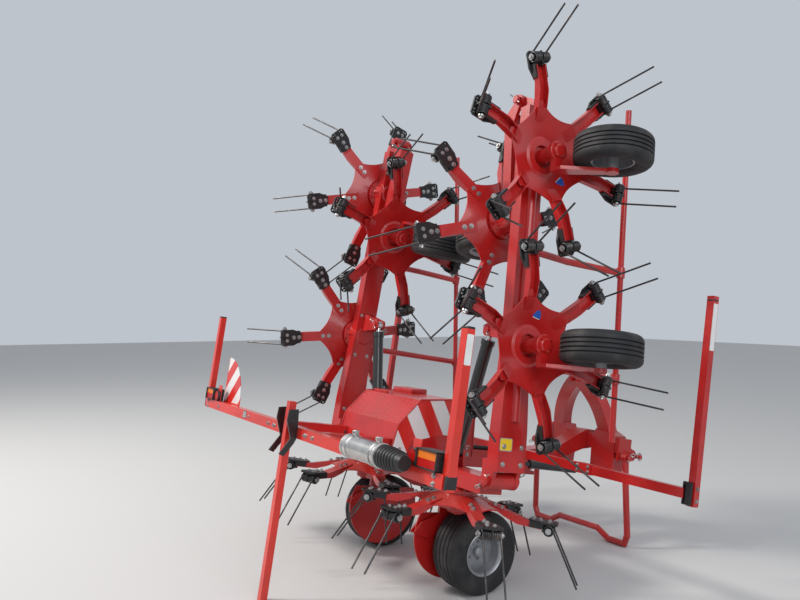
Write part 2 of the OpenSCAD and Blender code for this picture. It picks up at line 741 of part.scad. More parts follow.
// Outer sections, hinged over the wings
module outer(side) {
    far = 3.5 * rotor_pitch;
    start = outer_x + 57;
    color(paint) outer_place(side) {
        box([far - start, beam_w - 16, beam_h - 8], [(far + start) / 2, rotor_y, beam_z]);
        for (e = [-1, 1]) {
            at = rotor_y + e * (outer_tongue / 2 + seat + outer_lug / 2);
            front_plate([
                [outer_x, outer_z - 26], [start + 10, beam_z - 28], [start + 90, beam_z - 28],
                [start + 90, beam_z + 28], [outer_x, outer_z + 28]
            ], at - outer_lug / 2, at + outer_lug / 2);
            translate([outer_x, at, outer_z]) rotate([90, 0, 0])
                cylinder(r = outer_boss_r, h = outer_lug, center = true);
        }
        translate([outer_x, rotor_y, outer_z]) rotate([90, 0, 0])
            cylinder(d = outer_pin_d, h = outer_tongue + 2 * outer_lug + 24, center = true);
        gear_unit(far);
        wing_leg(3.5);
    }
}

// Lift cylinders
module lift_place(side) {
    lean = atan2(lift_top()[0] - lift_x, lift_top()[1] - lift_z);
    parked() mirror([side < 0 ? 1 : 0, 0, 0])
        translate([lift_x, rotor_y, lift_z]) rotate([0, lean, 0]) children();
}

// Folded place of the wing's lift pin, as (x, z) of the working frame
function lift_top() = [
    hinge_x + (lift_wing_x - hinge_x) * cos(fold_inner) - (lift_wing_z - hinge_z) * sin(fold_inner),
    hinge_z + (lift_wing_x - hinge_x) * sin(fold_inner) + (lift_wing_z - hinge_z) * cos(fold_inner)
];
function lift_length() = norm(lift_top() - [lift_x, lift_z]);

module lift_barrel(side) {
    color(dark) lift_place(side) difference() {
        union() {
            rotate([90, 0, 0]) cylinder(r = 30, h = lift_eye, center = true);
            translate([-26, -lift_eye / 2, 0]) cube([52, lift_eye, lift_neck + 4]);
            translate([0, 0, lift_neck]) cylinder(d = lift_d, h = lift_barrel_l - lift_neck);
            translate([0, 0, lift_barrel_l - 30]) cylinder(d = lift_d + 10, h = 30);
        }
        rotate([90, 0, 0]) cylinder(d = lift_pin_d + 2 * pin_gap, h = 100, center = true);
        translate([0, 0, lift_bore_z]) cylinder(d = lift_rod_d + 2 * pin_gap, h = lift_length());
    }
}

module lift_rod(side) {
    color(steel) lift_place(side) {
        translate([0, 0, lift_bore_z + 12]) cylinder(d = lift_rod_d, h = lift_length() - lift_bore_z - 30);
        translate([0, 0, lift_length()]) rotate([90, 0, 0]) cylinder(r = 28, h = lift_eye, center = true);
    }
}

// Hood over the main gearbox: an open-bottomed shell of one bent outline
function hood_outline(t) = [
    [t - hood_rear, 610 - 20 * t], [t - hood_rear + 45, hood_bend_z - t / 2],
    [t / 2 - hood_rear + 172, hood_top_z - 26 - t], [-100, hood_top_z - t],
    [hood_front - 20 - t, hood_top_z - 38 - t], [hood_front - t, 700 - 20 * t]
];

module hood() {
    color(paint) parked() difference() {
        side_plate(hood_outline(0), -hood_x, hood_x);
        side_plate(hood_outline(hood_t), hood_t - hood_x, hood_x - hood_t);
        box([2 * hood_x + 10, 700, 300], [0, 0, beam_z + frame_h / 2 - 130]);
        for (side = [-1, 1])
            box([rear_arm + 8, 900, 300], [side * rear_arm_x, -420, light_z + rear_arm / 2 + seat - 150]);
        box([drawbar_w + 60, 600, 300], [0, 100, drawbar_z + drawbar_h / 2 + 90]);
    }
}

// Rear light beam with the two guard bars and the hook plates' seat
module light_beam() {
    color(signal) parked() {
        box([2 * guard_x, light_tube, light_tube], [0, light_y, light_z]);
        for (side = [-1, 1])
            box([guard_tube, guard_tube, rear_bar_h + 35],
                [side * guard_x, light_y, light_z + (rear_bar_h - 35) / 2]);
    }
}

module stand_cheeks() {
    back = light_y - light_tube / 2;
    color(dark) parked() for (x = [-70, 70])
        side_plate([
            [back - seat, light_z - 34], [back - seat, light_z + 30], [back - 10, light_z + 128],
            [back - 66, light_z + 120], [back - 70, light_z + 60], [back - 34, light_z - 34],
            [back - 90, light_z - 120], [back - 60, light_z - 130], [back - 12, light_z - 60]
        ], rear_stand_x + x - 4, rear_stand_x + x + 4);
    color(dark) parked() translate([rear_stand_x - 80, rear_pivot_y, rear_pivot_z]) rotate([0, 90, 0])
        cylinder(d = rear_pin_d, h = 160);
}

module rear_stand_bar() {
    foot_z = centre_tyre_r - (centre_tyre_r - rear_pivot_y * sin(park_pitch)) / cos(park_pitch);
    color(signal) parked() difference() {
        box([rear_stand, rear_stand, rear_pivot_z + 80 - foot_z],
            [rear_stand_x, rear_pivot_y, (rear_pivot_z + 60 + foot_z) / 2]);
        translate([rear_stand_x, rear_pivot_y, rear_pivot_z]) rotate([0, 90, 0])
            cylinder(d = rear_pin_d + 2 * pin_gap, h = 100, center = true);
        translate([rear_stand_x, rear_pivot_y, foot_z]) rotate([park_pitch, 0, 0])
            translate([-100, -100, -100]) cube([200, 200, 100]);
    }
}

// Quarter-round warning board on the left end of the light beam
module warning_boards() {
    color(signal) parked() translate([-board_x, light_y + light_tube / 2 + seat, light_z + light_tube / 2]) {
        intersection() {
            rotate([-90, 0, 0]) cylinder(r = board_r, h = 4);
            cube([board_r, 10, board_r]);
        }
        translate([0, 0, 4 - light_tube / 2]) cube([board_r, 4, light_tube / 2]);
    }
}

module lamp_housings() {
    color(dark) parked() for (side = [-1, 1]) {
        box([lamp_w, 62, lamp_h], [side * lamp_x, light_y, lamp_z + lamp_h / 2]);
        translate([side * reflector_x, light_y - 20, lamp_z + 36]) rotate([90, 0, 0])
            cylinder(d = reflector_d + 8, h = 12);
        box([30, 30, 12], [side * reflector_x, light_y - 14, lamp_z + 6]);
    }
}

module lamp_lenses() {
    color([0.9, 0.3, 0.05]) parked() for (side = [-1, 1]) {
        box([lamp_w - 8, 10, lamp_h - 8], [side * lamp_x, light_y - 36 - seat, lamp_z + lamp_h / 2]);
        translate([side * reflector_x, light_y - 32 - seat, lamp_z + 36])
            rotate([90, 0, 0]) cylinder(d = reflector_d, h = 6);
    }
}

// Manual canister, strapped behind the light beam
module canister() {
    color(steel) parked() {
        translate([canister_x, canister_y, canister_z]) rotate([0, 90, 0]) rotate_extrude() polygon([
            [0, 0], [canister_d / 2, 0], [canister_d / 2, canister_l], [canister_d / 2 - 4, canister_l + 50],
            [canister_d / 2 - 14, canister_l + canister_cap_l - 20],
            [canister_d / 2 - 20, canister_l + canister_cap_l], [0, canister_l + canister_cap_l]
        ]);
        for (x = [40, 250])
            translate([canister_x + x, canister_y, canister_z]) {
                rotate([0, 90, 0]) cylinder(d = canister_d + 8, h = 18);
                translate([0, 0, -14]) cube([18, light_y - light_tube / 2 - canister_y - seat, 28]);
            }
    }
}

// Front guard: cross arm on the drawbar with a guard bar at each end
module front_guard() {
    color(paint) parked() {
        box([2 * front_reach, front_arm, front_arm], [0, front_y, front_z]);
        for (side = [-1, 1]) {
            box([8, front_arm + 10, 90], [side * (front_reach + 4), front_y + 10, front_z]);
            box([guard_tube, guard_tube, front_bar_h + 60],
                [side * front_bar_x, front_y + 20, front_z + (front_bar_h - 60) / 2]);
            box([120, front_arm + 12, front_arm + 8], [side * 790, front_y, front_z]);
        }
    }
}

// Headstock, drawn at its swivel's straight-ahead place
module headstock() {
    half = drawbar_h / 2 + seat;
    color(paint) parked() {
        for (e = [-1, 1])
            translate([0, swivel_y, drawbar_z + e * (half + 12)]) {
                cylinder(r = 60, h = 24, center = true);
                translate([-60, 0, -12]) cube([120, 190, 24]);
            }
        translate([0, swivel_y, drawbar_z]) cylinder(d = swivel_d, h = 2 * half + 90, center = true);
        side_plate([
            [690, drawbar_z - half - 24], [690, drawbar_z + half + 24], [1000, 800], [1260, 940],
            [1360, 940], [1360, 820], [1240, 800]
        ], -60, 60);
        box([2 * cross_x, cross_side, cross_side], [0, cross_y, cross_z]);
        difference() {
            translate([0, cross_y, cross_z + 30]) rotate([arch_lean, 0, 0]) arch();
            translate([0, top_y, link_z + mast_h]) rotate([0, 90, 0])
                cylinder(r = 46, h = 50, center = true);
        }
        for (e = [-1, 1])
            difference() {
                translate([e * 31, 0, 0]) union() {
                    side_plate([
                        [top_y - 60, link_z + mast_h - 150], [top_y + 60, link_z + mast_h - 150],
                        [top_y + 38, link_z + mast_h], [top_y - 38, link_z + mast_h]
                    ], -6, 6);
                    translate([0, top_y, link_z + mast_h]) rotate([0, 90, 0])
                        cylinder(r = 38, h = 12, center = true);
                }
                translate([0, top_y, link_z + mast_h]) rotate([0, 90, 0])
                    cylinder(d = top_bore_d, h = 200, center = true);
            }
        for (side = [-1, 1]) mirror([side < 0 ? 1 : 0, 0, 0]) {
            front_plate([
                [135, 656], [320, 656], [332, 780], [326, 930], [250, 960], [150, 960], [120, 900]
            ], 1255, 1365);
            lower_pin();
            for (e = [-1, 1])
                box([64, 160, 10], [rod_eye_x, rod_eye_y + 60, damper_z + e * (damper_eye / 2 + 5)]);
            translate([link_x - 30, stand_y, stand_z]) rotate([0, 90, 0])
                cylinder(d = stand_pin_d, h = stand_x + stand_d / 2 + 40 - link_x);
        }
    }
}

// Pointed arch of two curved legs, upright over the cross tube
module arch() {
    for (side = [-1, 1]) mirror([side < 0 ? 1 : 0, 0, 0])
        intersection() {
            translate([-280, 0, 0]) rotate([90, 0, 0]) difference() {
                cylinder(r = arch_r + arch_w / 2, h = arch_t, center = true);
                cylinder(r = arch_r - arch_w / 2, h = arch_t + 2, center = true);
            }
            box([290, arch_t + 20, 500], [144, 0, 250]);
        }
}

// Lower link pin, standing outward from its plate
module lower_pin() {
    plate_x = link_x - 38;
    translate([plate_x, link_y, link_z]) rotate([0, 90, 0]) cylinder(r = 38, h = 12);
    side_plate([
        [link_y - 75, link_z + 80], [link_y - 75, link_z - 10],
        [link_y, link_z - 38], [link_y, link_z + 38]
    ], plate_x, plate_x + 12);
    translate([plate_x, link_y, link_z]) rotate([0, 90, 0]) cylinder(d = link_pin_d, h = 84);
    side_plate([
        [stand_y - 24, stand_z - 30], [link_y - 20, stand_z - 30], [link_y - 20, 920], [stand_y - 24, 920]
    ], link_x - 42, link_x - 26);
}

// Swivel dampers, level so that their pins stay upright
module damper_place(side) {
    v = [rod_eye_x - damper_x, rod_eye_y - damper_y];
    parked() mirror([side < 0 ? 1 : 0, 0, 0]) translate([damper_x, damper_y, damper_z])
        rotate([0, 0, atan2(v[1], v[0])]) children();
}

function damper_length() = norm([rod_eye_x - damper_x, rod_eye_y - damper_y]);

module damper_barrel(side) {
    color(dark) damper_place(side) difference() {
        union() {
            cylinder(r = 20, h = damper_eye - 6, center = true);
            box([damper_neck + 4, 36, damper_eye - 6], [damper_neck / 2 + 2, 0, 0]);
            translate([damper_neck, 0, 0]) rotate([0, 90, 0])
                cylinder(d = damper_d, h = damper_l - damper_neck);
        }
        cylinder(d = damper_pin_d + 2 * pin_gap, h = 100, center = true);
        translate([damper_l - damper_stroke, 0, 0]) rotate([0, 90, 0])
            cylinder(d = damper_rod_d + 2 * pin_gap, h = 400);
    }
}

module damper_rod(side) {
    color(steel) damper_place(side) {
        translate([damper_l - damper_stroke + 50, 0, 0]) rotate([0, 90, 0])
            cylinder(d = damper_rod_d, h = damper_length() - damper_l + damper_stroke - 60);
        translate([damper_length(), 0, 0]) cylinder(r = 22, h = damper_eye - 8, center = true);
    }
}

// Front parking stand: a bent hoop hung on the headstock
module front_stand() {
    ground = -parked_z(stand_y, stand_z) + stand_d / 2 + 1;
    skid = stand_x - 10;
    color(paint) translate([0, parked_y(stand_y, stand_z) + origin_shift, parked_z(stand_y, stand_z)])
        difference() {
            union() {
                tube_path([
                    [stand_x, 0, 0], [stand_x, 0, -180], [stand_x + 14, 0, ground + 60], [skid, 0, ground],
                    [skid - stand_skid, 0, ground], [skid - stand_skid - stand_slope, 0, ground + stand_rise],
                    [stand_skid + stand_slope - skid, 0, ground + stand_rise], [stand_skid - skid, 0, ground],
                    [-skid, 0, ground], [-stand_x - 14, 0, ground + 60], [-stand_x, 0, -180], [-stand_x, 0, 0]
                ], stand_d);
                for (side = [-1, 1])
                    translate([side * stand_x, 0, 0]) rotate([0, 90, 0])
                        cylinder(r = 28, h = stand_d, center = true);
            }
            rotate([0, 90, 0]) cylinder(d = stand_pin_d + 2 * pin_gap, h = 3 * stand_x, center = true);
        }
}

// Hydraulic hoses from the drawbar to the lift cylinders
module hoses() {
    color(dark) parked() for (side = [-1, 1])
        tube_path([
            [side * 20, 460, drawbar_z + drawbar_h / 2 + seat + 11],
            [side * 20, 120, drawbar_z + drawbar_h / 2 + seat + 11]
        ], 22);
}

centre_frame();
hood();
light_beam();
warning_boards();
lamp_housings();
lamp_lenses();
canister();
front_guard();
wheel_legs();
hoses();
headstock();
front_stand();
rear_stand_bar();
stand_cheeks();
dish(0);  // dish_left_outer
dish(1);  // dish_left_middle
dish(2);  // dish_left_inner
dish(3);  // dish_left_centre
dish(4);  // dish_right_centre
dish(5);  // dish_right_inner
dish(6);  // dish_right_middle
dish(7);  // dish_right_outer
tines(0);  // tines_left_outer
tines(1);  // tines_left_middle
tines(2);  // tines_left_inner
tines(3);  // tines_left_centre
tines(4);  // tines_right_centre
tines(5);  // tines_right_inner
tines(6);  // tines_right_middle
tines(7);  // tines_right_outer
tyre(0);  // tyre_left_outer
tyre(1);  // tyre_left_middle
tyre(2);  // tyre_left_inner
tyre(3);  // tyre_left_centre
tyre(4);  // tyre_right_centre
tyre(5);  // tyre_right_inner
tyre(6);  // tyre_right_middle
tyre(7);  // tyre_right_outer
rim(0);  // rim_left_outer
rim(1);  // rim_left_middle
rim(2);  // rim_left_inner
rim(3);  // rim_left_centre
rim(4);  // rim_right_centre
rim(5);  // rim_right_inner
rim(6);  // rim_right_middle
rim(7);  // rim_right_outer
wing(-1);  // wing_left
wing(1);  // wing_right
outer(-1);  // outer_left
outer(1);  // outer_right
lift_barrel(-1);  // lift_barrel_left
lift_barrel(1);  // lift_barrel_right
lift_rod(-1);  // lift_rod_left
lift_rod(1);  // lift_rod_right
damper_barrel(-1);  // damper_barrel_left
damper_barrel(1);  // damper_barrel_right
damper_rod(-1);  // damper_rod_left
damper_rod(1);  // damper_rod_right
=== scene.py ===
# %% [markdown]
# Dressing a folded eight-rotor hay tedder. The CAD model brings every part at its real place and size.
# This script gives each part its finish, adds the trim that a tedder carries, and sets up floor, light and
# camera. Every step says what the thing is on the real machine and why it is made in this way.

# %% The fixed frame
import json
from math import atan2, cos, pi, radians, sin

import bmesh
import bpy
from mathutils import Matrix, Vector


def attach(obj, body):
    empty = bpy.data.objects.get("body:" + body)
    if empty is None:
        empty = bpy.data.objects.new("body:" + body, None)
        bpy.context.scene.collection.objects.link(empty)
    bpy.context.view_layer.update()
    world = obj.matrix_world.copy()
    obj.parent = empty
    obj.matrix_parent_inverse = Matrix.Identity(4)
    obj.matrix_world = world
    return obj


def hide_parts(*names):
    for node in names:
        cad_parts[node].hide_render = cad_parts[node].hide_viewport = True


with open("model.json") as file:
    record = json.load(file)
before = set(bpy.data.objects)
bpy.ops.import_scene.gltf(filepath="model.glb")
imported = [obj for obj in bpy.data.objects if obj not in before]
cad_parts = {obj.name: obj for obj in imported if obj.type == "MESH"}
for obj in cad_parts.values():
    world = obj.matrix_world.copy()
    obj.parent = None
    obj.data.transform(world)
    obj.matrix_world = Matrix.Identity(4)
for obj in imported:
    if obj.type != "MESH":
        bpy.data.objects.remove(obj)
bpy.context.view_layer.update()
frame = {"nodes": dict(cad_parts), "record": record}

# %% [markdown]
# The machine is parked nose-down on its stand, and its wings are folded up. It is far easier to place a
# bolt or a label on a level machine with flat wings, so three matrices carry a place from there to where
# it is now. They are worked out from the joints that the CAD model brings along: a hinge gives a point,
# an axis and a range, and that is all a fold needs.

# %% From the level machine to the parked one
ROTOR_PITCH = 1.03
ROTOR_Y = -0.16
ROTOR_Z = 0.468
SWIVEL = Vector((0, 0.62, 0.678))
SIDES = ((-1, "left"), (1, "right"))
joints = {joint["name"]: joint for joint in frame["record"]["behaviour"]["joints"]}


def joint_point(name):
    return Vector(joints[name]["pos_m"])


def joint_axis(name):
    return Vector(joints[name]["axis"]).normalized()


def turn_about(name, angle):
    """Rotation about a joint of the model, in degrees."""
    point = Matrix.Translation(joint_point(name))
    return point @ Matrix.Rotation(radians(angle), 4, joint_axis(name)) @ point.inverted()


upward = joint_axis("headstock_swivel")
sideways = Vector((1, 0, 0))
level = Matrix((sideways, upward.cross(sideways), upward)).transposed().to_4x4()
PARKED = Matrix.Translation(joint_point("headstock_swivel")) @ level @ Matrix.Translation(-SWIVEL)


def folded(name):
    """From the flat wing to the folded one: back over the hinge's whole range."""
    return turn_about(name, -joints[name]["range_deg"][1])


WING = {side: folded("fold_" + word) @ PARKED for side, word in SIDES}
OUTER = {side: folded("outer_fold_" + word) @ WING[side] for side, word in SIDES}
print("middle of the level machine lies at", [round(v, 3) for v in PARKED.translation])

# %% Names of the eight rotors, with their side and their steps from the middle
ROWS = [
    ("left_outer", -1, 3.5), ("left_middle", -1, 2.5), ("left_inner", -1, 1.5), ("left_centre", -1, 0.5),
    ("right_centre", 1, 0.5), ("right_inner", 1, 1.5), ("right_middle", 1, 2.5), ("right_outer", 1, 3.5),
]
TURNS = (42, 48)


def carrier(row):
    """Matrix of the frame, wing or outer section that carries a rotor, and the body's name."""
    _, side, steps = ROWS[row]
    word = dict(SIDES)[side]
    if steps < 1:
        return PARKED, "frame"
    if steps < 3:
        return WING[side], "wing_" + word
    return OUTER[side], "outer_" + word


def rotor_centre(row):
    """Where a rotor's axis meets its arms, on the level machine."""
    _, side, steps = ROWS[row]
    return Vector((side * steps * ROTOR_PITCH, ROTOR_Y, ROTOR_Z))


def rotor_matrix(row):
    """From a rotor's own axis, with an arm along X, to its place."""
    turn = Matrix.Rotation(radians(TURNS[row % 2]), 4, "Z")
    return carrier(row)[0] @ Matrix.Translation(rotor_centre(row)) @ turn


print(len(ROWS), "rotors, the outermost on", carrier(0)[1], "and", carrier(7)[1])

# %% [markdown]
# The camera stands where the photograph was taken from: behind the right corner of the machine, at eye
# height, with a slightly wide lens. It needs no shift, and hardly any roll.

# %% The camera
CAMERA_AT = Vector((3.897, -2.8355, 1.588))
LOOK_LEFT = 32.24
LOOK_UP = 0.588
ROLL = 0.348
FOCAL_PIXELS = 755.9
PHOTO_WIDTH = 800

camera_data = bpy.data.cameras.new("camera")
camera_data.sensor_width = 36
camera_data.lens = FOCAL_PIXELS / PHOTO_WIDTH * camera_data.sensor_width
camera = bpy.data.objects.new("camera", camera_data)
bpy.context.collection.objects.link(camera)
gaze = Vector((-cos(radians(LOOK_LEFT)) * cos(radians(LOOK_UP)),
               sin(radians(LOOK_LEFT)) * cos(radians(LOOK_UP)), sin(radians(LOOK_UP))))
right = gaze.cross(Vector((0, 0, 1))).normalized()
top = right.cross(gaze)
rolled = right * cos(radians(ROLL)) + top * sin(radians(ROLL))
camera.matrix_world = (Matrix.Translation(CAMERA_AT)
                       @ Matrix((rolled, rolled.cross(gaze), -gaze)).transposed().to_4x4())
bpy.context.scene.camera = camera
print("lens", round(camera_data.lens, 1), "mm")

# %% [markdown]
# A shader is a small calculation that runs for every point of a surface. Wiring it by hand takes dozens of
# boxes and lines, so a small class lets the calculation be written as plain arithmetic: each + or * adds
# one Math node.

# %% Shader arithmetic
class Value:
    """The output of a shader node. Arithmetic on it adds Math nodes."""

    def __init__(self, finish, socket):
        self.finish = finish
        self.socket = socket

    def math(self, operation, *values):
        return self.finish.node("ShaderNodeMath", {"operation": operation}, *values)

    def __add__(self, other):
        return self.math("ADD", self, other)

    __radd__ = __add__

    def __sub__(self, other):
        return self.math("SUBTRACT", self, other)

    def __rsub__(self, other):
        return self.math("SUBTRACT", other, self)

    def __mul__(self, other):
        return self.math("MULTIPLY", self, other)

    __rmul__ = __mul__

    def __truediv__(self, other):
        return self.math("DIVIDE", self, other)

    def __lt__(self, other):
        return self.math("LESS_THAN", self, other)

    def __gt__(self, other):
        return self.math("GREATER_THAN", self, other)

    def __abs__(self):
        return self.math("ABSOLUTE", self)

    def fraction(self):
        return self.math("FRACT", self)


print("shader values take + - * / < > and abs")

# %% [markdown]
# A finish is one material around the Principled shader, which covers paint, metal, rubber and plastic alike.
# Its methods add the few nodes that the finishes below share: noise, soft steps, mixes of colour, bumps, and
# a point's place on the level machine, so that a pattern stays on the piece when the piece moves.

# %% A finish
class Finish:
    """A material around one Principled shader."""

    def __init__(self, name, **constants):
        self.material = bpy.data.materials.new(name)
        self.material.use_nodes = True
        self.tree = self.material.node_tree
        self.shader = self.tree.nodes["Principled BSDF"]
        for socket, constant in constants.items():
            self.shader.inputs[socket.replace("_", " ")].default_value = constant
        self.place = self.node("ShaderNodeTexCoord", {"take": "Object"})

    def node(self, kind, settings, *values, **named):
        """Adds any node: settings first, then what feeds its sockets. take says which output is used."""
        made = self.tree.nodes.new(kind)
        for key, setting in settings.items():
            if key != "take":
                setattr(made, key, setting)
        for key, value in [*enumerate(values), *named.items()]:
            self.feed(made.inputs[key], value)
        return Value(self, made.outputs[settings.get("take", 0)])

    def feed(self, socket, value):
        """Links another node's output to a socket, or writes a constant there."""
        if isinstance(value, Value):
            self.tree.links.new(value.socket, socket)
        elif isinstance(value, tuple) and len(value) == 3 and len(socket.default_value) == 4:
            socket.default_value = (*value, 1)
        else:
            socket.default_value = value

    def set(self, name, value):
        self.feed(self.shader.inputs[name], value)

    def over(self, field, colour):
        """Lays a colour over the one that is there, where field is 1."""
        below = Value(self, self.shader.inputs["Base Color"].links[0].from_socket)
        self.set("Base Color", self.mix(field, below, colour))

    def noise(self, scale, detail=3.0, roughness=0.5):
        return self.node("ShaderNodeTexNoise", {"noise_dimensions": "3D"}, Vector=self.place, Scale=scale,
                         Detail=detail, Roughness=roughness)

    def split(self, place):
        """The X, Y and Z of a place, as three values."""
        first = self.node("ShaderNodeSeparateXYZ", {}, place)
        return [Value(self, socket) for socket in first.socket.node.outputs]

    def between(self, value, low, high):
        """1 where the value lies between two limits, with no soft edge."""
        return (value > low) * (value < high)

    def mix(self, share, first, second):
        """The first colour where share is 0 and the second where it is 1."""
        made = self.node("ShaderNodeMix", {"data_type": "RGBA", "take": 2})
        for number, value in ((0, share), (6, first), (7, second)):
            self.feed(made.socket.node.inputs[number], value)
        return made

    def ramp(self, value, low, high):
        """0 below low and 1 above high, with a soft rise between them."""
        return self.node("ShaderNodeMapRange", {"interpolation_type": "SMOOTHSTEP"},
                         Value=value, **{"From Min": low, "From Max": high})

    def bump(self, height, depth):
        """Tilts the light on the surface as if it stood depth metres higher where height is 1."""
        self.set("Normal", self.node("ShaderNodeBump", {}, Height=height, Distance=depth))

    def local(self, matrix):
        """The object's place measured along the axes of a piece's own frame."""
        inverse = matrix.inverted()
        values = []
        for row in range(3):
            turned = self.node("ShaderNodeVectorMath", {"operation": "DOT_PRODUCT", "take": "Value"},
                               self.place, tuple(inverse[row][:3]))
            values.append(turned + inverse[row][3])
        return values


print("finish maker ready")

# %% [markdown]
# Nearly everything is pressed or welded steel under a thick glossy red powder coat. Such a coat is never
# quite even: it has the faint waves of orange peel, a film of dust where it faces the sky, and a duller
# patch here and there. The colour changes by only a few per cent, and the gloss does most of the work.

# %% Paint
PAINT_RED = (0.5, 0.012, 0.011)
SIGNAL_RED = (0.7, 0.026, 0.013)
DUST = (0.36, 0.28, 0.2)


def paint(name, colour, gloss=0.3, dusty=0.16):
    """Powder coat of one colour with dust on what faces up."""
    finish = Finish(name, Coat_Roughness=0.12, IOR=1.5)
    patches = finish.noise(3.5, 5, 0.6)
    fine = finish.noise(60, 3)
    deeper = tuple(part * 0.72 for part in colour)
    body = finish.mix(finish.ramp(patches, 0.3, 0.75), colour, deeper)
    normal = finish.node("ShaderNodeNewGeometry", {"take": "Normal"})
    _, _, up = finish.split(normal)
    dust = finish.ramp(up, 0.35, 1.0) * finish.ramp(patches + fine * 0.4, 0.45, 0.95) * dusty
    finish.set("Base Color", finish.mix(dust, body, DUST))
    finish.set("Roughness", fine * 0.12 + dust * 0.9 + (gloss - 0.06))
    finish.set("Coat Weight", 0.45 - dust * 1.2)
    finish.bump(finish.noise(220, 2) * 0.6 + patches * 0.4, 0.0006)
    return finish


red_paint = paint("red_paint", PAINT_RED)
signal_paint = paint("signal_paint", SIGNAL_RED)
black_paint = paint("black_paint", (0.012, 0.012, 0.013), 0.32)
print("painted metal:", [finish.material.name for finish in (red_paint, signal_paint, black_paint)])

# %% [markdown]
# The hood's two ends and the warning boards carry the wide red and white diagonal bands that make a wide
# load plain to see. The bands follow one rule: measure the place across the bands, divide by their pitch,
# and let every second one be white.

# %% Diagonal bands
BAND_WHITE = (0.74, 0.73, 0.72)
BAND_RED = (0.62, 0.02, 0.014)
BAND_EDGE = 0.01


def banded(finish, along, pitch, start):
    """Red and white bands across the measure along, each pitch metres wide."""
    phase = (along / (pitch * 2) + start).fraction()
    return finish.mix(finish.ramp(phase, 0.5 - BAND_EDGE, 0.5 + BAND_EDGE), BAND_WHITE, BAND_RED)


print("bands turn from white to red over", 4 * BAND_EDGE, "of their width")

# %% The hood: red, with a banded field on each end
HOOD_END_X = 0.3085
HOOD_FIELD_Y = (-0.6, -0.05)
HOOD_FIELD_LOW = 0.7
HOOD_BAND = {"pitch": 0.104, "start": 0.22}
HOOD_BAND_SLOPE = 0.65


def hood_paint():
    finish = paint("hood_paint", PAINT_RED, 0.25, 0.08)
    x, y, z = finish.local(PARKED)
    step, rise = finish.ramp(y, -0.42, -0.37) * 0.09, finish.ramp(y, -0.37, -0.15) * 0.04
    field = (abs(x) > HOOD_END_X) * finish.between(y, *HOOD_FIELD_Y) * (z > step + rise + HOOD_FIELD_LOW)
    finish.over(field, banded(finish, y + z * HOOD_BAND_SLOPE, **HOOD_BAND))
    return finish


hood_finish = hood_paint()
print("hood bands", HOOD_BAND["pitch"], "m wide")

# %% The quarter-round board, seen from behind and from the front
BOARD_FIELD_X = (-1.268, -0.97)
BOARD_FOOT_Z = 0.79
BOARD_BAND = {"pitch": 0.115, "start": 0.3}


def board_paint():
    finish = paint("board_paint", SIGNAL_RED, 0.3, 0.05)
    x, _, z = finish.local(PARKED)
    finish.over(finish.between(x, *BOARD_FIELD_X) * (z > BOARD_FOOT_Z), banded(finish, x - z, **BOARD_BAND))
    return finish


board_finish = board_paint()
print("board bands", BOARD_BAND["pitch"], "m wide")

# %% [markdown]
# A tine unit is one black moulded holder with two coiled springs of bare, dark steel wire in it. Holder and
# springs are one CAD node, so one material has to tell them apart. It measures each point in the rotor's
# own frame, turns it back to the nearest arm, and calls everything below and beside the holder wire.

# %% Tine units
ARM_STEP = pi / 3
HOLDER_BOTTOM = -0.0042
HOLDER_END = 0.4785
HOLDER_WEB = 0.0052


def tine_finish(row):
    finish = Finish("tines_" + ROWS[row][0], IOR=1.48)
    u, v, w = finish.local(rotor_matrix(row))
    angle = v.math("ARCTAN2", v, u)
    lean = angle - angle.math("ROUND", angle / ARM_STEP) * ARM_STEP
    radius = u.math("SQRT", u * u + v * v)
    outward = radius * lean.math("COSINE", lean)
    across = radius * lean.math("SINE", lean)
    wire = (w < HOLDER_BOTTOM) * (outward > HOLDER_END) * (abs(across) > HOLDER_WEB)
    grain = finish.noise(90, 3)
    scuffs = finish.ramp(finish.noise(14, 4), 0.5, 0.8)
    plastic = finish.mix(scuffs * 0.5, (0.011, 0.011, 0.012), (0.05, 0.048, 0.045))
    steel = finish.mix(scuffs, (0.06, 0.058, 0.06), (0.16, 0.14, 0.13))
    finish.set("Base Color", finish.mix(wire, plastic, steel))
    finish.set("Metallic", wire * 0.8)
    finish.set("Roughness", grain * 0.2 + 0.34 - wire * 0.1)
    finish.bump(grain, 0.0005)
    return finish


print("wire begins", HOLDER_END, "m out from the rotor's axis")

# %% [markdown]
# Rubber is nearly black and never shiny. What makes it read as a tyre is the grey dust that stays in its
# pores, and the fine noise in its gloss. Bare metal takes its look from what it mirrors, so only its gloss
# and a few duller patches vary. Plastic and film lie between the two: an even colour with paler worn places.

# %% Rubber, metals, plastics and films
def rubber_finish(name, colour=(0.014, 0.014, 0.016), dusty=0.5):
    finish = Finish(name, IOR=1.45)
    fine = finish.noise(110, 4)
    patches = finish.noise(9, 4)
    grey = finish.ramp(patches, 0.42, 0.85) * dusty
    finish.set("Base Color", finish.mix(grey, colour, (0.11, 0.1, 0.088)))
    finish.set("Roughness", fine * 0.25 + 0.52)
    finish.bump(fine, 0.0012)
    return finish


def plain_metal(name, colour, roughness, metallic=1.0, wear=0.3):
    finish = Finish(name)
    fine = finish.noise(150, 3)
    patches = finish.noise(12, 4)
    duller = tuple(part * (1 - wear) for part in colour)
    finish.set("Base Color", finish.mix(finish.ramp(patches, 0.35, 0.8), colour, duller))
    finish.set("Metallic", metallic)
    finish.set("Roughness", fine * 0.16 + patches * 0.1 + roughness - 0.08)
    finish.bump(fine, 0.0003)
    return finish


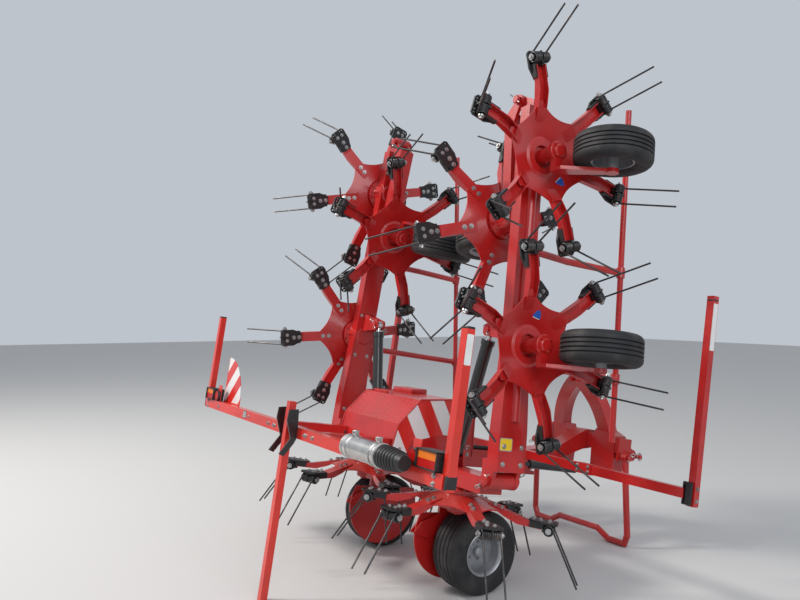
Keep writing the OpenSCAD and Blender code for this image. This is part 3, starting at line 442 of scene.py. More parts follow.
def plastic(name, colour, roughness=0.4):
    finish = Finish(name, IOR=1.5)
    fine = finish.noise(180, 2)
    patches = finish.noise(8, 3)
    paler = tuple(part * 0.85 + 0.02 for part in colour)
    finish.set("Base Color", finish.mix(finish.ramp(patches, 0.4, 0.8), colour, paler))
    finish.set("Roughness", fine * 0.12 + roughness - 0.05)
    finish.bump(fine, 0.0003)
    return finish


tyre_finish = rubber_finish("tyre_rubber")
hose_finish = rubber_finish("hose_rubber", (0.012, 0.012, 0.012), 0.25)
black_plastic = plastic("black_plastic", (0.012, 0.012, 0.013))
rim_finish = plain_metal("rim_silver", (0.36, 0.37, 0.39), 0.38, 0.55)
bright_steel = plain_metal("bright_steel", (0.62, 0.6, 0.58), 0.3)
chrome = plain_metal("rod_chrome", (0.75, 0.75, 0.76), 0.16, 1.0, 0.08)
zinc = plain_metal("zinc", (0.5, 0.5, 0.49), 0.34)
white_film = plastic("white_film", (0.72, 0.72, 0.7), 0.35)
yellow_film = plastic("yellow_film", (0.78, 0.52, 0.02), 0.35)
blue_film = plastic("blue_film", (0.02, 0.09, 0.4), 0.35)
grey_film = plastic("grey_film", (0.3, 0.3, 0.3), 0.4)
print("dark and bright finishes ready")

# %% [markdown]
# The lamps' glass is orange above and red below, with upright ribs that spread the light, and the round
# reflectors are red all over. One CAD node holds them all, so the colour follows the place.

# %% Lamp glass and reflectors
LENS_SPLIT_Z = 0.824
LENS_FROM_X = 1.28
RIBS_PER_METRE = 90


def lens_finish():
    finish = Finish("lamp_lens", IOR=1.5, Roughness=0.12)
    x, _, z = finish.local(PARKED)
    upper = (z > LENS_SPLIT_Z) * (abs(x) > LENS_FROM_X)
    ribs = finish.ramp(abs((x * RIBS_PER_METRE).fraction() - 0.5), 0.2, 0.5)
    tone = finish.mix(upper, (0.5, 0.008, 0.006), (0.85, 0.2, 0.015))
    finish.set("Base Color", finish.mix(ribs * 0.35, tone, (0.2, 0.01, 0.005)))
    finish.bump(ribs, 0.001)
    return finish


lens = lens_finish()
print("lens ribs", round(1000 / RIBS_PER_METRE, 1), "mm apart")

# %% [markdown]
# A CAD node keeps its mesh, and its look comes only from the material in its slot. Welded parts of the
# machine share one paint. The light beam and the rear stand bar are a brighter signal red.

# %% Finishes of the CAD nodes
def coat(finish, *nodes):
    for name in nodes:
        mesh = frame["nodes"][name].data
        mesh.materials.clear()
        mesh.materials.append(finish.material)


coat(red_paint, "centre_frame", "wheel_legs", "front_guard", "headstock", "front_stand")
coat(red_paint, "wing_left", "wing_right", "outer_left", "outer_right")
coat(signal_paint, "light_beam", "rear_stand_bar")
coat(hood_finish, "hood")
coat(board_finish, "warning_boards")
coat(black_plastic, "lamp_housings")
coat(black_paint, "stand_cheeks", "lift_barrel_left", "lift_barrel_right")
coat(black_paint, "damper_barrel_left", "damper_barrel_right")
coat(chrome, "lift_rod_left", "lift_rod_right", "damper_rod_left", "damper_rod_right")
coat(lens, "lamp_lenses")
coat(hose_finish, "hoses")
for number, (name, _, _) in enumerate(ROWS):
    coat(red_paint, "dish_" + name)
    coat(tine_finish(number), "tines_" + name)
    coat(tyre_finish, "tyre_" + name)
    coat(rim_finish, "rim_" + name)
print("coated", len(frame["nodes"]), "CAD nodes")

# %% [markdown]
# New pieces are modelled in a bmesh, in metres on the level machine, and a matrix then carries their
# vertices to where the machine holds them now. A handful of small makers cover nearly all of the trim:
# a bevelled block, a round bar, a lathe-turned profile and a plate cut from sheet.

# %% Blocks and bars
def added_since(mesh, known):
    """The vertices that a mesh has gained."""
    return [vert for vert in mesh.verts if vert not in known]


def block(mesh, size, at, bevel, lean=0):
    """A box with rounded edges, leaning back by some degrees."""
    known = set(mesh.verts)
    corners = bmesh.ops.create_cube(mesh, size=1.0)["verts"]
    bmesh.ops.scale(mesh, vec=size, verts=corners)
    edges = [edge for edge in mesh.edges if edge.verts[0] not in known]
    bmesh.ops.bevel(mesh, geom=edges, offset=bevel, offset_type="OFFSET", segments=2, profile=0.5,
                    affect="EDGES", clamp_overlap=True, material=-1)
    bmesh.ops.transform(mesh, matrix=Matrix.Translation(at) @ Matrix.Rotation(radians(lean), 4, "X"),
                        verts=added_since(mesh, known))


def along(start, end):
    """Matrix that takes the Z axis, from 0 to 1 m, onto a line between two points."""
    start, end = Vector(start), Vector(end)
    return Matrix.Translation(start) @ (end - start).to_track_quat("Z", "Y").to_matrix().to_4x4()


def bar(mesh, start, end, radius, sides=20, tip=None):
    """A round bar between two points; tip makes it a cone."""
    length = (Vector(end) - Vector(start)).length
    bmesh.ops.create_cone(mesh, cap_ends=True, segments=sides, radius1=radius,
                          radius2=radius if tip is None else tip, depth=length,
                          matrix=along(start, end) @ Matrix.Translation((0, 0, length / 2)))


print("makers of blocks and bars ready")

# %% Turned pieces, rings and plates
def lathe(mesh, profile, matrix, steps=48, closed=False):
    """Turns a profile of (radius, height) points about the matrix's Z axis."""
    known = set(mesh.verts)
    verts = [mesh.verts.new((radius, 0, height)) for radius, height in profile]
    edges = [mesh.edges.new(pair) for pair in zip(verts, verts[1:] + (verts[:1] if closed else []))]
    bmesh.ops.spin(mesh, geom=verts + edges, cent=(0, 0, 0), axis=(0, 0, 1), dvec=(0, 0, 0),
                   angle=2 * pi, steps=steps, use_merge=True, use_duplicate=False)
    bmesh.ops.remove_doubles(mesh, verts=added_since(mesh, known), dist=1e-6)
    bmesh.ops.transform(mesh, matrix=matrix, verts=added_since(mesh, known))


def ring(mesh, radius, wire, matrix, steps):
    """A closed ring of round wire."""
    turns = [2 * pi * number / 8 for number in range(8)]
    lathe(mesh, [(radius + wire * cos(turn), wire * sin(turn)) for turn in turns], matrix, steps, closed=True)


def plate(mesh, outline, thickness, matrix):
    """A flat outline of (x, y) points, thickened along the matrix's Z axis."""
    verts = [mesh.verts.new((x, y, 0)) for x, y in outline]
    face = mesh.faces.new(verts)
    grown = bmesh.ops.extrude_face_region(mesh, geom=[face])["geom"]
    lifted = [part for part in grown if isinstance(part, bmesh.types.BMVert)]
    bmesh.ops.translate(mesh, vec=(0, 0, thickness), verts=lifted)
    bmesh.ops.transform(mesh, matrix=matrix, verts=verts + lifted)


print("makers of turned pieces, rings and plates ready")

# %% From a bmesh to a piece that rides on a body
def finished(name, mesh, matrix, finish, body, crease=35):
    """Makes an object of a bmesh, carries it to its place and lets it ride on a body. Edges that turn by more
    than crease degrees stay sharp."""
    bmesh.ops.transform(mesh, matrix=matrix, verts=mesh.verts)
    bmesh.ops.recalc_face_normals(mesh, faces=mesh.faces)
    data = bpy.data.meshes.new(name)
    mesh.to_mesh(data)
    mesh.free()
    data.materials.append(finish.material)
    piece = bpy.data.objects.new(name, data)
    bpy.context.collection.objects.link(piece)
    data.polygons.foreach_set("use_smooth", [True] * len(data.polygons))
    data.set_sharp_from_angle(angle=radians(crease))
    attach(piece, body)
    return piece


# %% [markdown]
# The tyres are floats with a few straight ribs round the tread. A rib pattern is the same all the way
# round, so the whole tyre is one profile with grooves in it, turned about the axle. It stands for the
# smooth tyre of the CAD model and has the same outer size.

# %% Ribbed tyres
CENTRE_TYRE = (0.230, 0.206, 0.118)
WING_TYRE = (0.204, 0.160, 0.112)
SHOULDER = 0.036
SHOULDER_STEPS = 5
RIBS = 5
GROOVE_WIDTH = 0.008
GROOVE_DEPTH = 0.009
GROOVE_SLOPE = 0.002
SIDE_PROUD = 0.0006
TYRE_CREASE = 28


def tyre_size(row):
    """A tyre's radius, its width and the radius of its bead."""
    return CENTRE_TYRE if ROWS[row][2] < 1 else WING_TYRE


def tyre_profile(radius, width, bead):
    """(radius, height) points from one bead over the tread to the other, grooves included."""
    half = width / 2
    side = [(bead, half - 0.018), (bead + 0.012, half - 0.006), (bead + 0.03, half),
            (bead + 0.045, half + SIDE_PROUD), (radius - SHOULDER - 0.02, half + SIDE_PROUD)]
    for step in range(SHOULDER_STEPS + 1):
        angle = step / SHOULDER_STEPS * pi / 2
        side.append((radius - SHOULDER + SHOULDER * sin(angle), half - SHOULDER + SHOULDER * cos(angle)))
    tread = half - SHOULDER
    pitch = 2 * tread / (RIBS - 1)
    grooves = []
    for groove in range(RIBS - 1):
        at = tread - pitch * (groove + 0.5) + GROOVE_WIDTH / 2
        grooves += [(radius, at), (radius - GROOVE_DEPTH, at - GROOVE_SLOPE),
                    (radius - GROOVE_DEPTH, at - GROOVE_WIDTH + GROOVE_SLOPE), (radius, at - GROOVE_WIDTH)]
    return side + grooves + [(r, -h) for r, h in reversed(side)]


def wheel_matrix(name):
    """The wheel's axle as the Z axis."""
    hub = joint_point("wheel_" + name)
    return along(hub, hub + joint_axis("wheel_" + name))


def tyre(row):
    name = ROWS[row][0]
    mesh = bmesh.new()
    lathe(mesh, tyre_profile(*tyre_size(row)), Matrix.Identity(4), 72, closed=True)
    piece = finished("ribbed_tyre_" + name, mesh, wheel_matrix(name), tyre_finish, "wheel_" + name,
                     TYRE_CREASE)
    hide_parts("tyre_" + name)
    return piece


for row in range(len(ROWS)):
    piece = tyre(row)
print("eight tyres,", len(piece.data.polygons), "faces on the last")

# %% [markdown]
# Small wheels like these have a pressed disc rim with a raised bead edge, a ring of studs and a turned cap
# over the bearing. The turned parts are two profiles, and the studs are one short bar repeated in a ring. A
# centre wheel has its disc on the side away from the middle, and a wing's wheel on the side of its joint.

# %% Wheel discs, studs and hub caps
STUDS = 5
STUD_CIRCLE = 0.05
DISC_FACE = 0.012
RIM_DEPTH = 0.02
BEAD_EDGE = [(-0.012, -0.004), (0.004, 0.004), (0.007, 0.012), (0.002, 0.016), (-0.006, 0.01)]
HUB_CAP = [(0.0, 0.052), (0.016, 0.051), (0.024, 0.046), (0.027, 0.038), (0.027, 0.02), (0.036, 0.018),
           (0.036, 0.014), (0.0, 0.014)]


def wheel_trim(row):
    name, side, steps = ROWS[row]
    _, width, bead = tyre_size(row)
    way = side if steps < 1 else 1
    outward = Matrix.Scale(way, 4, (0, 0, 1))
    mesh = bmesh.new()
    lathe(mesh, [(bead + out, width / 2 - RIM_DEPTH + up) for out, up in BEAD_EDGE], outward, 56, closed=True)
    lathe(mesh, HUB_CAP, outward, 32)
    for stud in range(STUDS):
        angle = 2 * pi * stud / STUDS
        at = (STUD_CIRCLE * cos(angle), STUD_CIRCLE * sin(angle))
        bar(mesh, (*at, DISC_FACE * way), (*at, 0.028 * way), 0.0055, 10)
        bar(mesh, (*at, DISC_FACE * way), (*at, 0.022 * way), 0.0095, 6)
    bar(mesh, (0.0, bead - 0.03, DISC_FACE * way), (0.0, bead - 0.024, 0.04 * way), 0.004, 10)
    return finished("wheel_disc_" + name, mesh, wheel_matrix(name), rim_finish, "wheel_" + name)


for row in range(len(ROWS)):
    wheel_trim(row)
print("eight wheel discs with", STUDS, "studs each")

# %% [markdown]
# Each rotor carries bolts wherever an arm meets the dish and where a tine holder is clamped to its arm.
# Real bolt heads are hexagons with a washer under them. The same little bolt is used all over the machine.

# %% Bolts
def bolt(mesh, at, axis, size):
    """A hexagon head on its washer, with the thread's end above; size is the head's radius."""
    at, step = Vector(at), Vector(axis).normalized() * size
    bar(mesh, at, at + step * 0.25, size * 1.35, 16)
    bar(mesh, at, at + step * 0.95, size, 6, size * 0.93)
    bar(mesh, at + step * 0.9, at + step * 1.25, size * 0.5, 10)


UP = (0, 0, 1)
ARM_BOLTS = (0.205, 0.245)
HOLDER_BOLTS = (0.418, 0.458)
HOLDER_TOP = 0.0078
COIL = Vector((0.508, 0, -0.034))
KNEE = 0.38
ARM_SLOPE = 0.05517 / 0.21


def arm_top(radius):
    """Height of an arm's upper face between the dish and its knee."""
    return 0.0005 + ARM_SLOPE * (KNEE - radius)


def rotor_bolts(row):
    name = ROWS[row][0]
    mesh = bmesh.new()
    for arm in range(6):
        turn = Matrix.Rotation(arm * ARM_STEP, 3, "Z")
        for radius in ARM_BOLTS:
            bolt(mesh, turn @ Vector((radius, 0, arm_top(radius))), turn @ Vector((ARM_SLOPE, 0, 1)), 0.011)
        for radius in HOLDER_BOLTS:
            bolt(mesh, turn @ Vector((radius, 0, HOLDER_TOP)), UP, 0.011)
        for across in (-1, 1):
            bolt(mesh, turn @ Vector((COIL.x, across * 0.02, HOLDER_TOP)), UP, 0.009)
            for inner, outer, radius, sides in ((0.0565, 0.066, 0.016, 20), (0.066, 0.074, 0.009, 6)):
                bar(mesh, turn @ (COIL + Vector((0, across * inner, 0))),
                    turn @ (COIL + Vector((0, across * outer, 0))), radius, sides)
    return finished("rotor_bolts_" + name, mesh, rotor_matrix(row), zinc, "rotor_" + name)


for row in range(len(ROWS)):
    rotor_bolts(row)
print("bolts on", len(ROWS), "rotors")

# %% [markdown]
# The gearboxes are castings: a round flange is bolted down over each rotor, and upright ribs stiffen the
# housing between it and the beam. The flange is a turned profile, and the ribs are one plate in a ring.

# %% Gearbox bolts and ribs
FLANGE = [(0.099, 0.084), (0.104, 0.084), (0.104, 0.098), (0.099, 0.1025), (0.09, 0.1025), (0.09, 0.084)]
FLANGE_BOLTS = 8
FLANGE_CIRCLE = 0.0965
FLANGE_TOP = 0.101
RIB = [(0.06, 0.1), (0.094, 0.1), (0.09, 0.125), (0.084, 0.175), (0.06, 0.196)]
RIB_THICKNESS = 0.006


def upright(angle, thickness):
    """Stands a plate up in the plane of an axis, at an angle about it."""
    return (Matrix.Rotation(angle, 4, "Z") @ Matrix.Rotation(pi / 2, 4, "X")
            @ Matrix.Translation((0, 0, -thickness / 2)))


def gearbox_trim(row):
    matrix, body = carrier(row)
    mesh = bmesh.new()
    lathe(mesh, FLANGE, Matrix.Identity(4), 48, closed=True)
    for number in range(FLANGE_BOLTS):
        angle = 2 * pi * (number + 0.5) / FLANGE_BOLTS
        bolt(mesh, (FLANGE_CIRCLE * cos(angle), FLANGE_CIRCLE * sin(angle), FLANGE_TOP), UP, 0.0075)
        plate(mesh, RIB, RIB_THICKNESS, upright(2 * pi * number / FLANGE_BOLTS, RIB_THICKNESS))
    place = matrix @ Matrix.Translation(rotor_centre(row))
    finished("gearbox_casting_" + ROWS[row][0], mesh, place, red_paint, body)


for row in range(len(ROWS)):
    gearbox_trim(row)
print("gearbox flanges bolted down")

# %% [markdown]
# Under each rotor the stem ends in a cast foot with a grease cap, and the wheel leg is bolted to it. It is
# the part of the rotor that the camera sees most, because the wings are folded up.

# %% Stem feet
FOOT = [(0.0, -0.012), (0.03, -0.012), (0.036, -0.006), (0.036, 0.002), (0.052, 0.002), (0.056, 0.006),
        (0.056, 0.03), (0.05, 0.036), (0.0, 0.036)]
FOOT_CIRCLE = 0.044
DOWN = (0, 0, -1)


def stem_foot(row):
    matrix, body = carrier(row)
    foot = rotor_centre(row) - Vector((0, 0, 0.03 if body == "frame" else 0.066))
    mesh = bmesh.new()
    lathe(mesh, FOOT, Matrix.Translation(foot), 40)
    for number in range(4):
        angle = pi / 4 + pi / 2 * number
        bolt(mesh, foot + Vector((FOOT_CIRCLE * cos(angle), FOOT_CIRCLE * sin(angle), 0.001)), DOWN, 0.007)
    finished("stem_foot_" + ROWS[row][0], mesh, matrix, red_paint, body)


for row in range(len(ROWS)):
    stem_foot(row)
print("stem feet under", len(ROWS), "rotors")

# %% [markdown]
# Stuck-on films are blank here. Each has a thin edge of another colour, as a printed film has. Both layers
# stand about a millimetre proud of the sheet under them: two faces in one plane would flicker.

# %% Films and plates
FILM_THICKNESS = 0.0006
FILM_CORNER = 0.12
FILM_BORDER = 0.06


def rounded(width, height, corner):
    """The outline of a rectangle with rounded corners."""
    outline = []
    for sx, sy, start in ((1, -1, -90), (1, 1, 0), (-1, 1, 90), (-1, -1, 180)):
        for step in range(4):
            angle = radians(start + step * 30)
            outline.append((sx * (width / 2 - corner) + corner * cos(angle),
                            sy * (height / 2 - corner) + corner * sin(angle)))
    return outline


def film(name, centre, right_way, up_way, size, finish, edge, matrix, body):
    """A thin rounded plate on its edge layer; centre and directions are in the frame that matrix places."""
    right_way, up_way = Vector(right_way).normalized(), Vector(up_way).normalized()
    outward = right_way.cross(up_way)
    facing = Matrix((right_way, up_way, outward)).transposed().to_4x4()
    outline = rounded(*size, min(size) * FILM_CORNER)
    border = min(size) * FILM_BORDER
    for number, (inset, proud, look) in enumerate(((0, 0.0003, edge), (border, 0.0006, finish))):
        mesh = bmesh.new()
        inner = [(x - inset * (1 if x > 0 else -1), y - inset * (1 if y > 0 else -1)) for x, y in outline]
        plate(mesh, inner, FILM_THICKNESS, Matrix.Translation(Vector(centre) + outward * proud) @ facing)
        finished(f"{name}_{number}", mesh, matrix, look, body)


print("film maker ready, layers", FILM_THICKNESS * 1000, "mm thick")

# %% [markdown]
# A small steel canister is strapped behind the light beam. Its body is bare bright steel and its cap is
# black ribbed rubber. Both are one CAD node, so the material changes at the cap's edge. The straps and the
# cap's ribs are turned rings, and two plates hold the canister to the beam.

# %% Canister
CANISTER = Vector((0.8, -1.06, 0.79))
CANISTER_RADIUS = 0.052
CANISTER_BODY = 0.31


def canister_finish():
    finish = Finish("canister")
    x, _, _ = finish.local(PARKED)
    cap = x > CANISTER.x + CANISTER_BODY
    patches = finish.noise(12, 4)
    fine = finish.noise(150, 3)
    steel = finish.mix(finish.ramp(patches, 0.35, 0.8), (0.66, 0.65, 0.63), (0.42, 0.41, 0.4))
    finish.set("Base Color", finish.mix(cap, steel, (0.013, 0.013, 0.014)))
    finish.set("Metallic", 1.0 - cap)
    finish.set("Roughness", cap * 0.25 + fine * 0.1 + 0.2)
    finish.bump(fine, 0.0003)
    return finish


coat(canister_finish(), "canister")
print("canister", CANISTER_BODY, "m of steel, then its cap")

# %% Canister straps, ribs and brackets
BACK = (0, -1, 0)
FORTH = (0, 1, 0)
CAP_RIBS = 7
CAP_RIB_PITCH = 0.02
CAP_TAPER_FROM = 0.36
CANISTER_BRACKET = [(0.0, 0.0), (0.0, 0.075), (0.05, 0.03), (0.05, 0.0)]
lengthways = Matrix.Translation(CANISTER) @ Matrix.Rotation(pi / 2, 4, "Y")


def canister_trim():
    mesh = bmesh.new()
    for at in (0.012, 0.3):
        lathe(mesh, [(CANISTER_RADIUS, at - 0.006), (CANISTER_RADIUS + 0.004, at - 0.005),
                     (CANISTER_RADIUS + 0.004, at + 0.005), (CANISTER_RADIUS, at + 0.006)], lengthways, 48,
              closed=True)
    for at in (0.049, 0.259):
        block(mesh, (0.02, 0.024, 0.026), CANISTER + Vector((at, 0.0, CANISTER_RADIUS + 0.012)), 0.003)
        bolt(mesh, CANISTER + Vector((at, -0.012, CANISTER_RADIUS + 0.016)), BACK, 0.007)
    finished("canister_straps", mesh, PARKED, bright_steel, "frame")
    mesh = bmesh.new()
    for rib in range(CAP_RIBS):
        at = CANISTER_BODY + 0.012 + rib * CAP_RIB_PITCH
        outer = CANISTER_RADIUS - 0.002 - max(0, at - CAP_TAPER_FROM) * 0.1
        lathe(mesh, [(outer - 0.004, at - 0.004), (outer + 0.003, at - 0.002), (outer + 0.003, at + 0.002),
                     (outer - 0.004, at + 0.004)], lengthways, 40, closed=True)
    finished("canister_cap_ribs", mesh, PARKED, black_plastic, "frame")
    mesh = bmesh.new()
    for x in (0.845, 1.055):
        plate(mesh, CANISTER_BRACKET, 0.008,
              Matrix.Translation((x, -1.001, 0.722)) @ Matrix.Rotation(pi / 2, 4, "Z")
              @ Matrix.Rotation(pi / 2, 4, "X") @ Matrix.Scale(-1, 4, (1, 0, 0)))
    finished("canister_brackets", mesh, PARKED, signal_paint, "frame")


canister_trim()
print("canister strapped on, cap with", CAP_RIBS, "ribs")

# %% [markdown]
# The light beam carries the lamps, a red reflector beside each of them, a small blank plate, and bolts where
# the guard bars and the stand are held. Black caps close the ends of its tubes. White films on the outer
# sides of the guard bars make them plain to see.

# %% Light beam
LIGHT_Y = -0.97
LIGHT_Z = 0.752
BACK_FACE = LIGHT_Y - 0.03
GUARD_X = 1.47
GUARD_TOP = LIGHT_Z + 0.619
film("beam_plate", (-0.69, BACK_FACE, 0.755), (1, 0, 0), UP, (0.06, 0.044), grey_film, black_plastic, PARKED,
     "frame")
for side, _ in SIDES:
    film(f"bar_film_{side}", (side * 1.49, LIGHT_Y, 1.283), (0, side, 0), UP, (0.034, 0.125), white_film,
         white_film, PARKED, "frame")


def beam_trim():
    bolts, caps, carriers = bmesh.new(), bmesh.new(), bmesh.new()
    for side, _ in SIDES:
        for height in (0.735, 0.768):
            bolt(bolts, (side * 1.41, BACK_FACE, height), BACK, 0.009)
        for x in (0.62, 1.18, 0.2):
            bolt(bolts, (side * x, BACK_FACE, LIGHT_Z), BACK, 0.008)
        for x in (-0.04, 0.04):
            bolt(bolts, (side * 0.26 + x, BACK_FACE, LIGHT_Z), BACK, 0.009)
        block(caps, (0.0405, 0.0405, 0.012), (side * GUARD_X, LIGHT_Y, GUARD_TOP), 0.003)
        block(caps, (0.012, 0.056, 0.056), (side * 1.484, LIGHT_Y, LIGHT_Z), 0.003)
        plate(carriers, [(-0.03, 0.0), (0.03, 0.0), (0.03, 0.11), (-0.03, 0.11)], 0.004,
              Matrix.Translation((side * 1.245, LIGHT_Y - 0.013, LIGHT_Z + 0.03))
              @ Matrix.Rotation(pi / 2, 4, "X"))
    finished("beam_bolts", bolts, PARKED, zinc, "frame")
    finished("beam_caps", caps, PARKED, black_plastic, "frame")
    finished("reflector_carriers", carriers, PARKED, signal_paint, "frame")


beam_trim()
print("light beam dressed from", -GUARD_X, "to", GUARD_X)

# %% Lamps
LAMP_X = 1.362
LAMP_Z = 0.8225
LAMP_SIZE = (0.15, 0.08)
LAMP_EDGE = 0.006
REFLECTOR = (1.242, 0.8185)
REFLECTOR_EDGE = [(0.031, 0.0), (0.035, 0.0), (0.035, 0.008), (0.031, 0.008)]


def lamp_trim():
    """A black frame round each lamp, its cable's plug behind it, and a ring round each reflector."""
    mesh = bmesh.new()
    width, height = LAMP_SIZE
    front = BACK_FACE - 0.005
    for side, _ in SIDES:
        x = side * LAMP_X
        for way in (-1, 1):
            block(mesh, (width, 0.03, LAMP_EDGE), (x, front, LAMP_Z + way * (height - LAMP_EDGE) / 2), 0.0015)
            block(mesh, (LAMP_EDGE, 0.03, height), (x + way * (width - LAMP_EDGE) / 2, front, LAMP_Z), 0.0015)
        lathe(mesh, REFLECTOR_EDGE, Matrix.Translation((side * REFLECTOR[0], BACK_FACE, REFLECTOR[1]))
              @ Matrix.Rotation(pi / 2, 4, "X"), 40, closed=True)
        bar(mesh, (x + 0.03, -0.94, 0.82), (x + 0.03, -0.925, 0.82), 0.012, 16)
    finished("lamp_frames", mesh, PARKED, black_plastic, "frame")


lamp_trim()
print("lamps framed,", LAMP_SIZE[0], "m wide")

# %% [markdown]
# The hood is one bent sheet over the main gearbox. Its folded edges, the small raised lid on top, the two
# black latches behind and the screws along its sides are what tell it from a painted box.

# %% Hood
HOOD_X = 0.31
HOOD_EDGE = [(-0.53, 0.65), (-0.485, 0.87), (-0.358, 1.016), (-0.1, 1.042), (0.04, 1.004), (0.06, 0.72)]
HOOD_SCREWS = ((-0.46, 0.73), (-0.2, 0.71), (0.02, 0.73))
EDGE_RADIUS = 0.005
LATCH_X = 0.24
LATCH_LEAN = -11.5


def hood_trim():
    edges, screws, latches = bmesh.new(), bmesh.new(), bmesh.new()
    for side, _ in SIDES:
        corners = [(side * (HOOD_X + 0.0005), y, z) for y, z in HOOD_EDGE]
        for start, end in zip(corners, corners[1:]):
            bar(edges, start, end, EDGE_RADIUS, 12)
        for corner in corners[1:-1]:
            bmesh.ops.create_icosphere(edges, subdivisions=2, radius=EDGE_RADIUS + 0.0002,
                                       matrix=Matrix.Translation(corner))
        for y, z in HOOD_SCREWS:
            bolt(screws, (side * HOOD_X, y, z), (side, 0, 0), 0.009)
        block(latches, (0.03, 0.012, 0.07), (side * LATCH_X, -0.524, 0.72), 0.004, LATCH_LEAN)
        block(latches, (0.042, 0.02, 0.018), (side * LATCH_X, -0.532, 0.695), 0.004, LATCH_LEAN)
    block(edges, (0.22, 0.12, 0.035), (-0.16, -0.13, 1.05), 0.008, 5)
    block(edges, (0.16, 0.012, 0.03), (-0.16, -0.34, 1.022), 0.004, 20)
    finished("hood_edges", edges, PARKED, red_paint, "frame")
    finished("hood_screws", screws, PARKED, zinc, "frame")
    finished("hood_latches", latches, PARKED, black_plastic, "frame")


hood_trim()
print("hood dressed, with", len(HOOD_EDGE) - 1, "folded edges on each side")

# %% [markdown]
# The front guard is a cross arm with an upright bar at each end. Bolts through the arm and the bars' feet
# hold it together, and black pads sit behind the feet. White films face forward and outward near the bars'
# tops.

# %% Front guard
FRONT_Y = 0.516
FRONT_Z = 0.7583
FRONT_BAR_X = 1.49
FRONT_BAR_Y = FRONT_Y + 0.02
BAR_HALF = 0.02
ARM_HALF = 0.031
SIGN_Z = 1.6
SIGN_HEIGHT = 0.24


def front_guard_trim():
    bolts, pads = bmesh.new(), bmesh.new()
    for side, _ in SIDES:
        for x in (0.75, 0.83):
            for z in (FRONT_Z - 0.014, FRONT_Z + 0.014):
                bolt(bolts, (side * x, FRONT_Y - ARM_HALF, z), BACK, 0.008)
                bolt(bolts, (side * x, FRONT_Y + ARM_HALF, z), FORTH, 0.008)
        for z in (FRONT_Z - 0.03, FRONT_Z + 0.03):
            bolt(bolts, (side * (FRONT_BAR_X + BAR_HALF), FRONT_BAR_Y, z), (side, 0, 0), 0.008)
        block(pads, (0.052, 0.016, 0.114), (side * 1.478, FRONT_Y - 0.012, FRONT_Z + 0.002), 0.004)
        block(pads, (0.041, 0.041, 0.012), (side * FRONT_BAR_X, FRONT_BAR_Y, FRONT_Z + 0.978), 0.003)
    finished("guard_bolts", bolts, PARKED, zinc, "frame")
    finished("guard_pads", pads, PARKED, black_plastic, "frame")


front_guard_trim()
for side, word in SIDES:
    front = FRONT_BAR_Y + BAR_HALF + 0.0005
    film("guard_sign_front_" + word, (side * FRONT_BAR_X, front, SIGN_Z), (-1, 0, 0), UP,
         (0.036, SIGN_HEIGHT), white_film, white_film, PARKED, "frame")
    film("guard_sign_side_" + word, (side * (FRONT_BAR_X + BAR_HALF), FRONT_BAR_Y, SIGN_Z), (0, side, 0), UP,
         (0.034, SIGN_HEIGHT), white_film, white_film, PARKED, "frame")
print("front guard dressed, films", SIGN_HEIGHT, "m high")

# %% [markdown]
# Each hinge pin ends in a head with a spring pin through it, and the spring pin has a wire ring. These bright
# little parts sit at every fold of the machine and catch the light. Heads and clips have different
# finishes, so each pin adds to two meshes at once.

# %% Pin heads
def pin_head(heads, clips, at, axis, radius):
    """The end of a pin, with the spring pin through it and the spring pin's ring."""
    at, axis = Vector(at), Vector(axis).normalized()
    lathe(heads, [(0.0, 0.012), (radius * 0.8, 0.012), (radius, 0.008), (radius, 0.0), (0.0, 0.0)],
          along(at, at + axis), 28)
    across = axis.orthogonal().normalized()
    middle = at + axis * 0.006
    bar(clips, middle - across * radius * 1.7, middle + across * radius * 1.7, 0.004, 10)
    eye = middle + across * radius * 1.9
    ring(clips, 0.016, 0.003, along(eye, eye + across.cross(axis)), 20)


def pin_pairs(name, side, pins, matrix, body):
    """Both ends of pins that lie fore and aft; each is (x, half length, z, radius)."""
    heads, clips = bmesh.new(), bmesh.new()
    for way in (-1, 1):
        for x, half, z, radius in pins:
            pin_head(heads, clips, (side * x, ROTOR_Y + way * half, z), (0, way, 0), radius)
    finished(name[0], heads, matrix, red_paint, body)
    finished(name[1], clips, matrix, zinc, body)


HINGE_PIN = (0.84, 0.103, 0.67, 0.03)
LIFT_FOOT_PIN = (0.45, 0.038, 0.76, 0.02)
OUTER_HINGE_PIN = (2.938, 0.064, 0.708, 0.024)
LIFT_EYE_PIN = (1.64, 0.0321, 0.84, 0.021)
for side, word in SIDES:
    for part, pins, matrix, body in (("inner", (HINGE_PIN, LIFT_FOOT_PIN), PARKED, "frame"),
                                     ("outer", (OUTER_HINGE_PIN,), OUTER[side], "outer_" + word),
                                     ("lift", (LIFT_EYE_PIN,), WING[side], "wing_" + word)):
        pin_pairs((f"{part}_pins_{word}", f"{part}_pin_clips_{word}"), side, pins, matrix, body)
print("hinge and cylinder pins in place")

# %% Lower link pins and stand pins
LINK_PIN = (0.449, 1.375, 0.815)
LINK_PIN_RADIUS = 0.014
STAND_PIN = (0.461, 1.262, 0.8)


def linchpin(mesh, at, radius):
    """A sprung pin through a link pin near its free end, with its ring laid over the pin."""
    at = Vector(at)
    bar(mesh, at - Vector((0, 0, radius + 0.012)), at + Vector((0, 0, radius + 0.014)), 0.0045, 12)
    ring(mesh, 0.024, 0.0025, Matrix.Translation(at + Vector((0, 0, 0.002)))
         @ Matrix.Rotation(radians(78), 4, "Y"), 28)


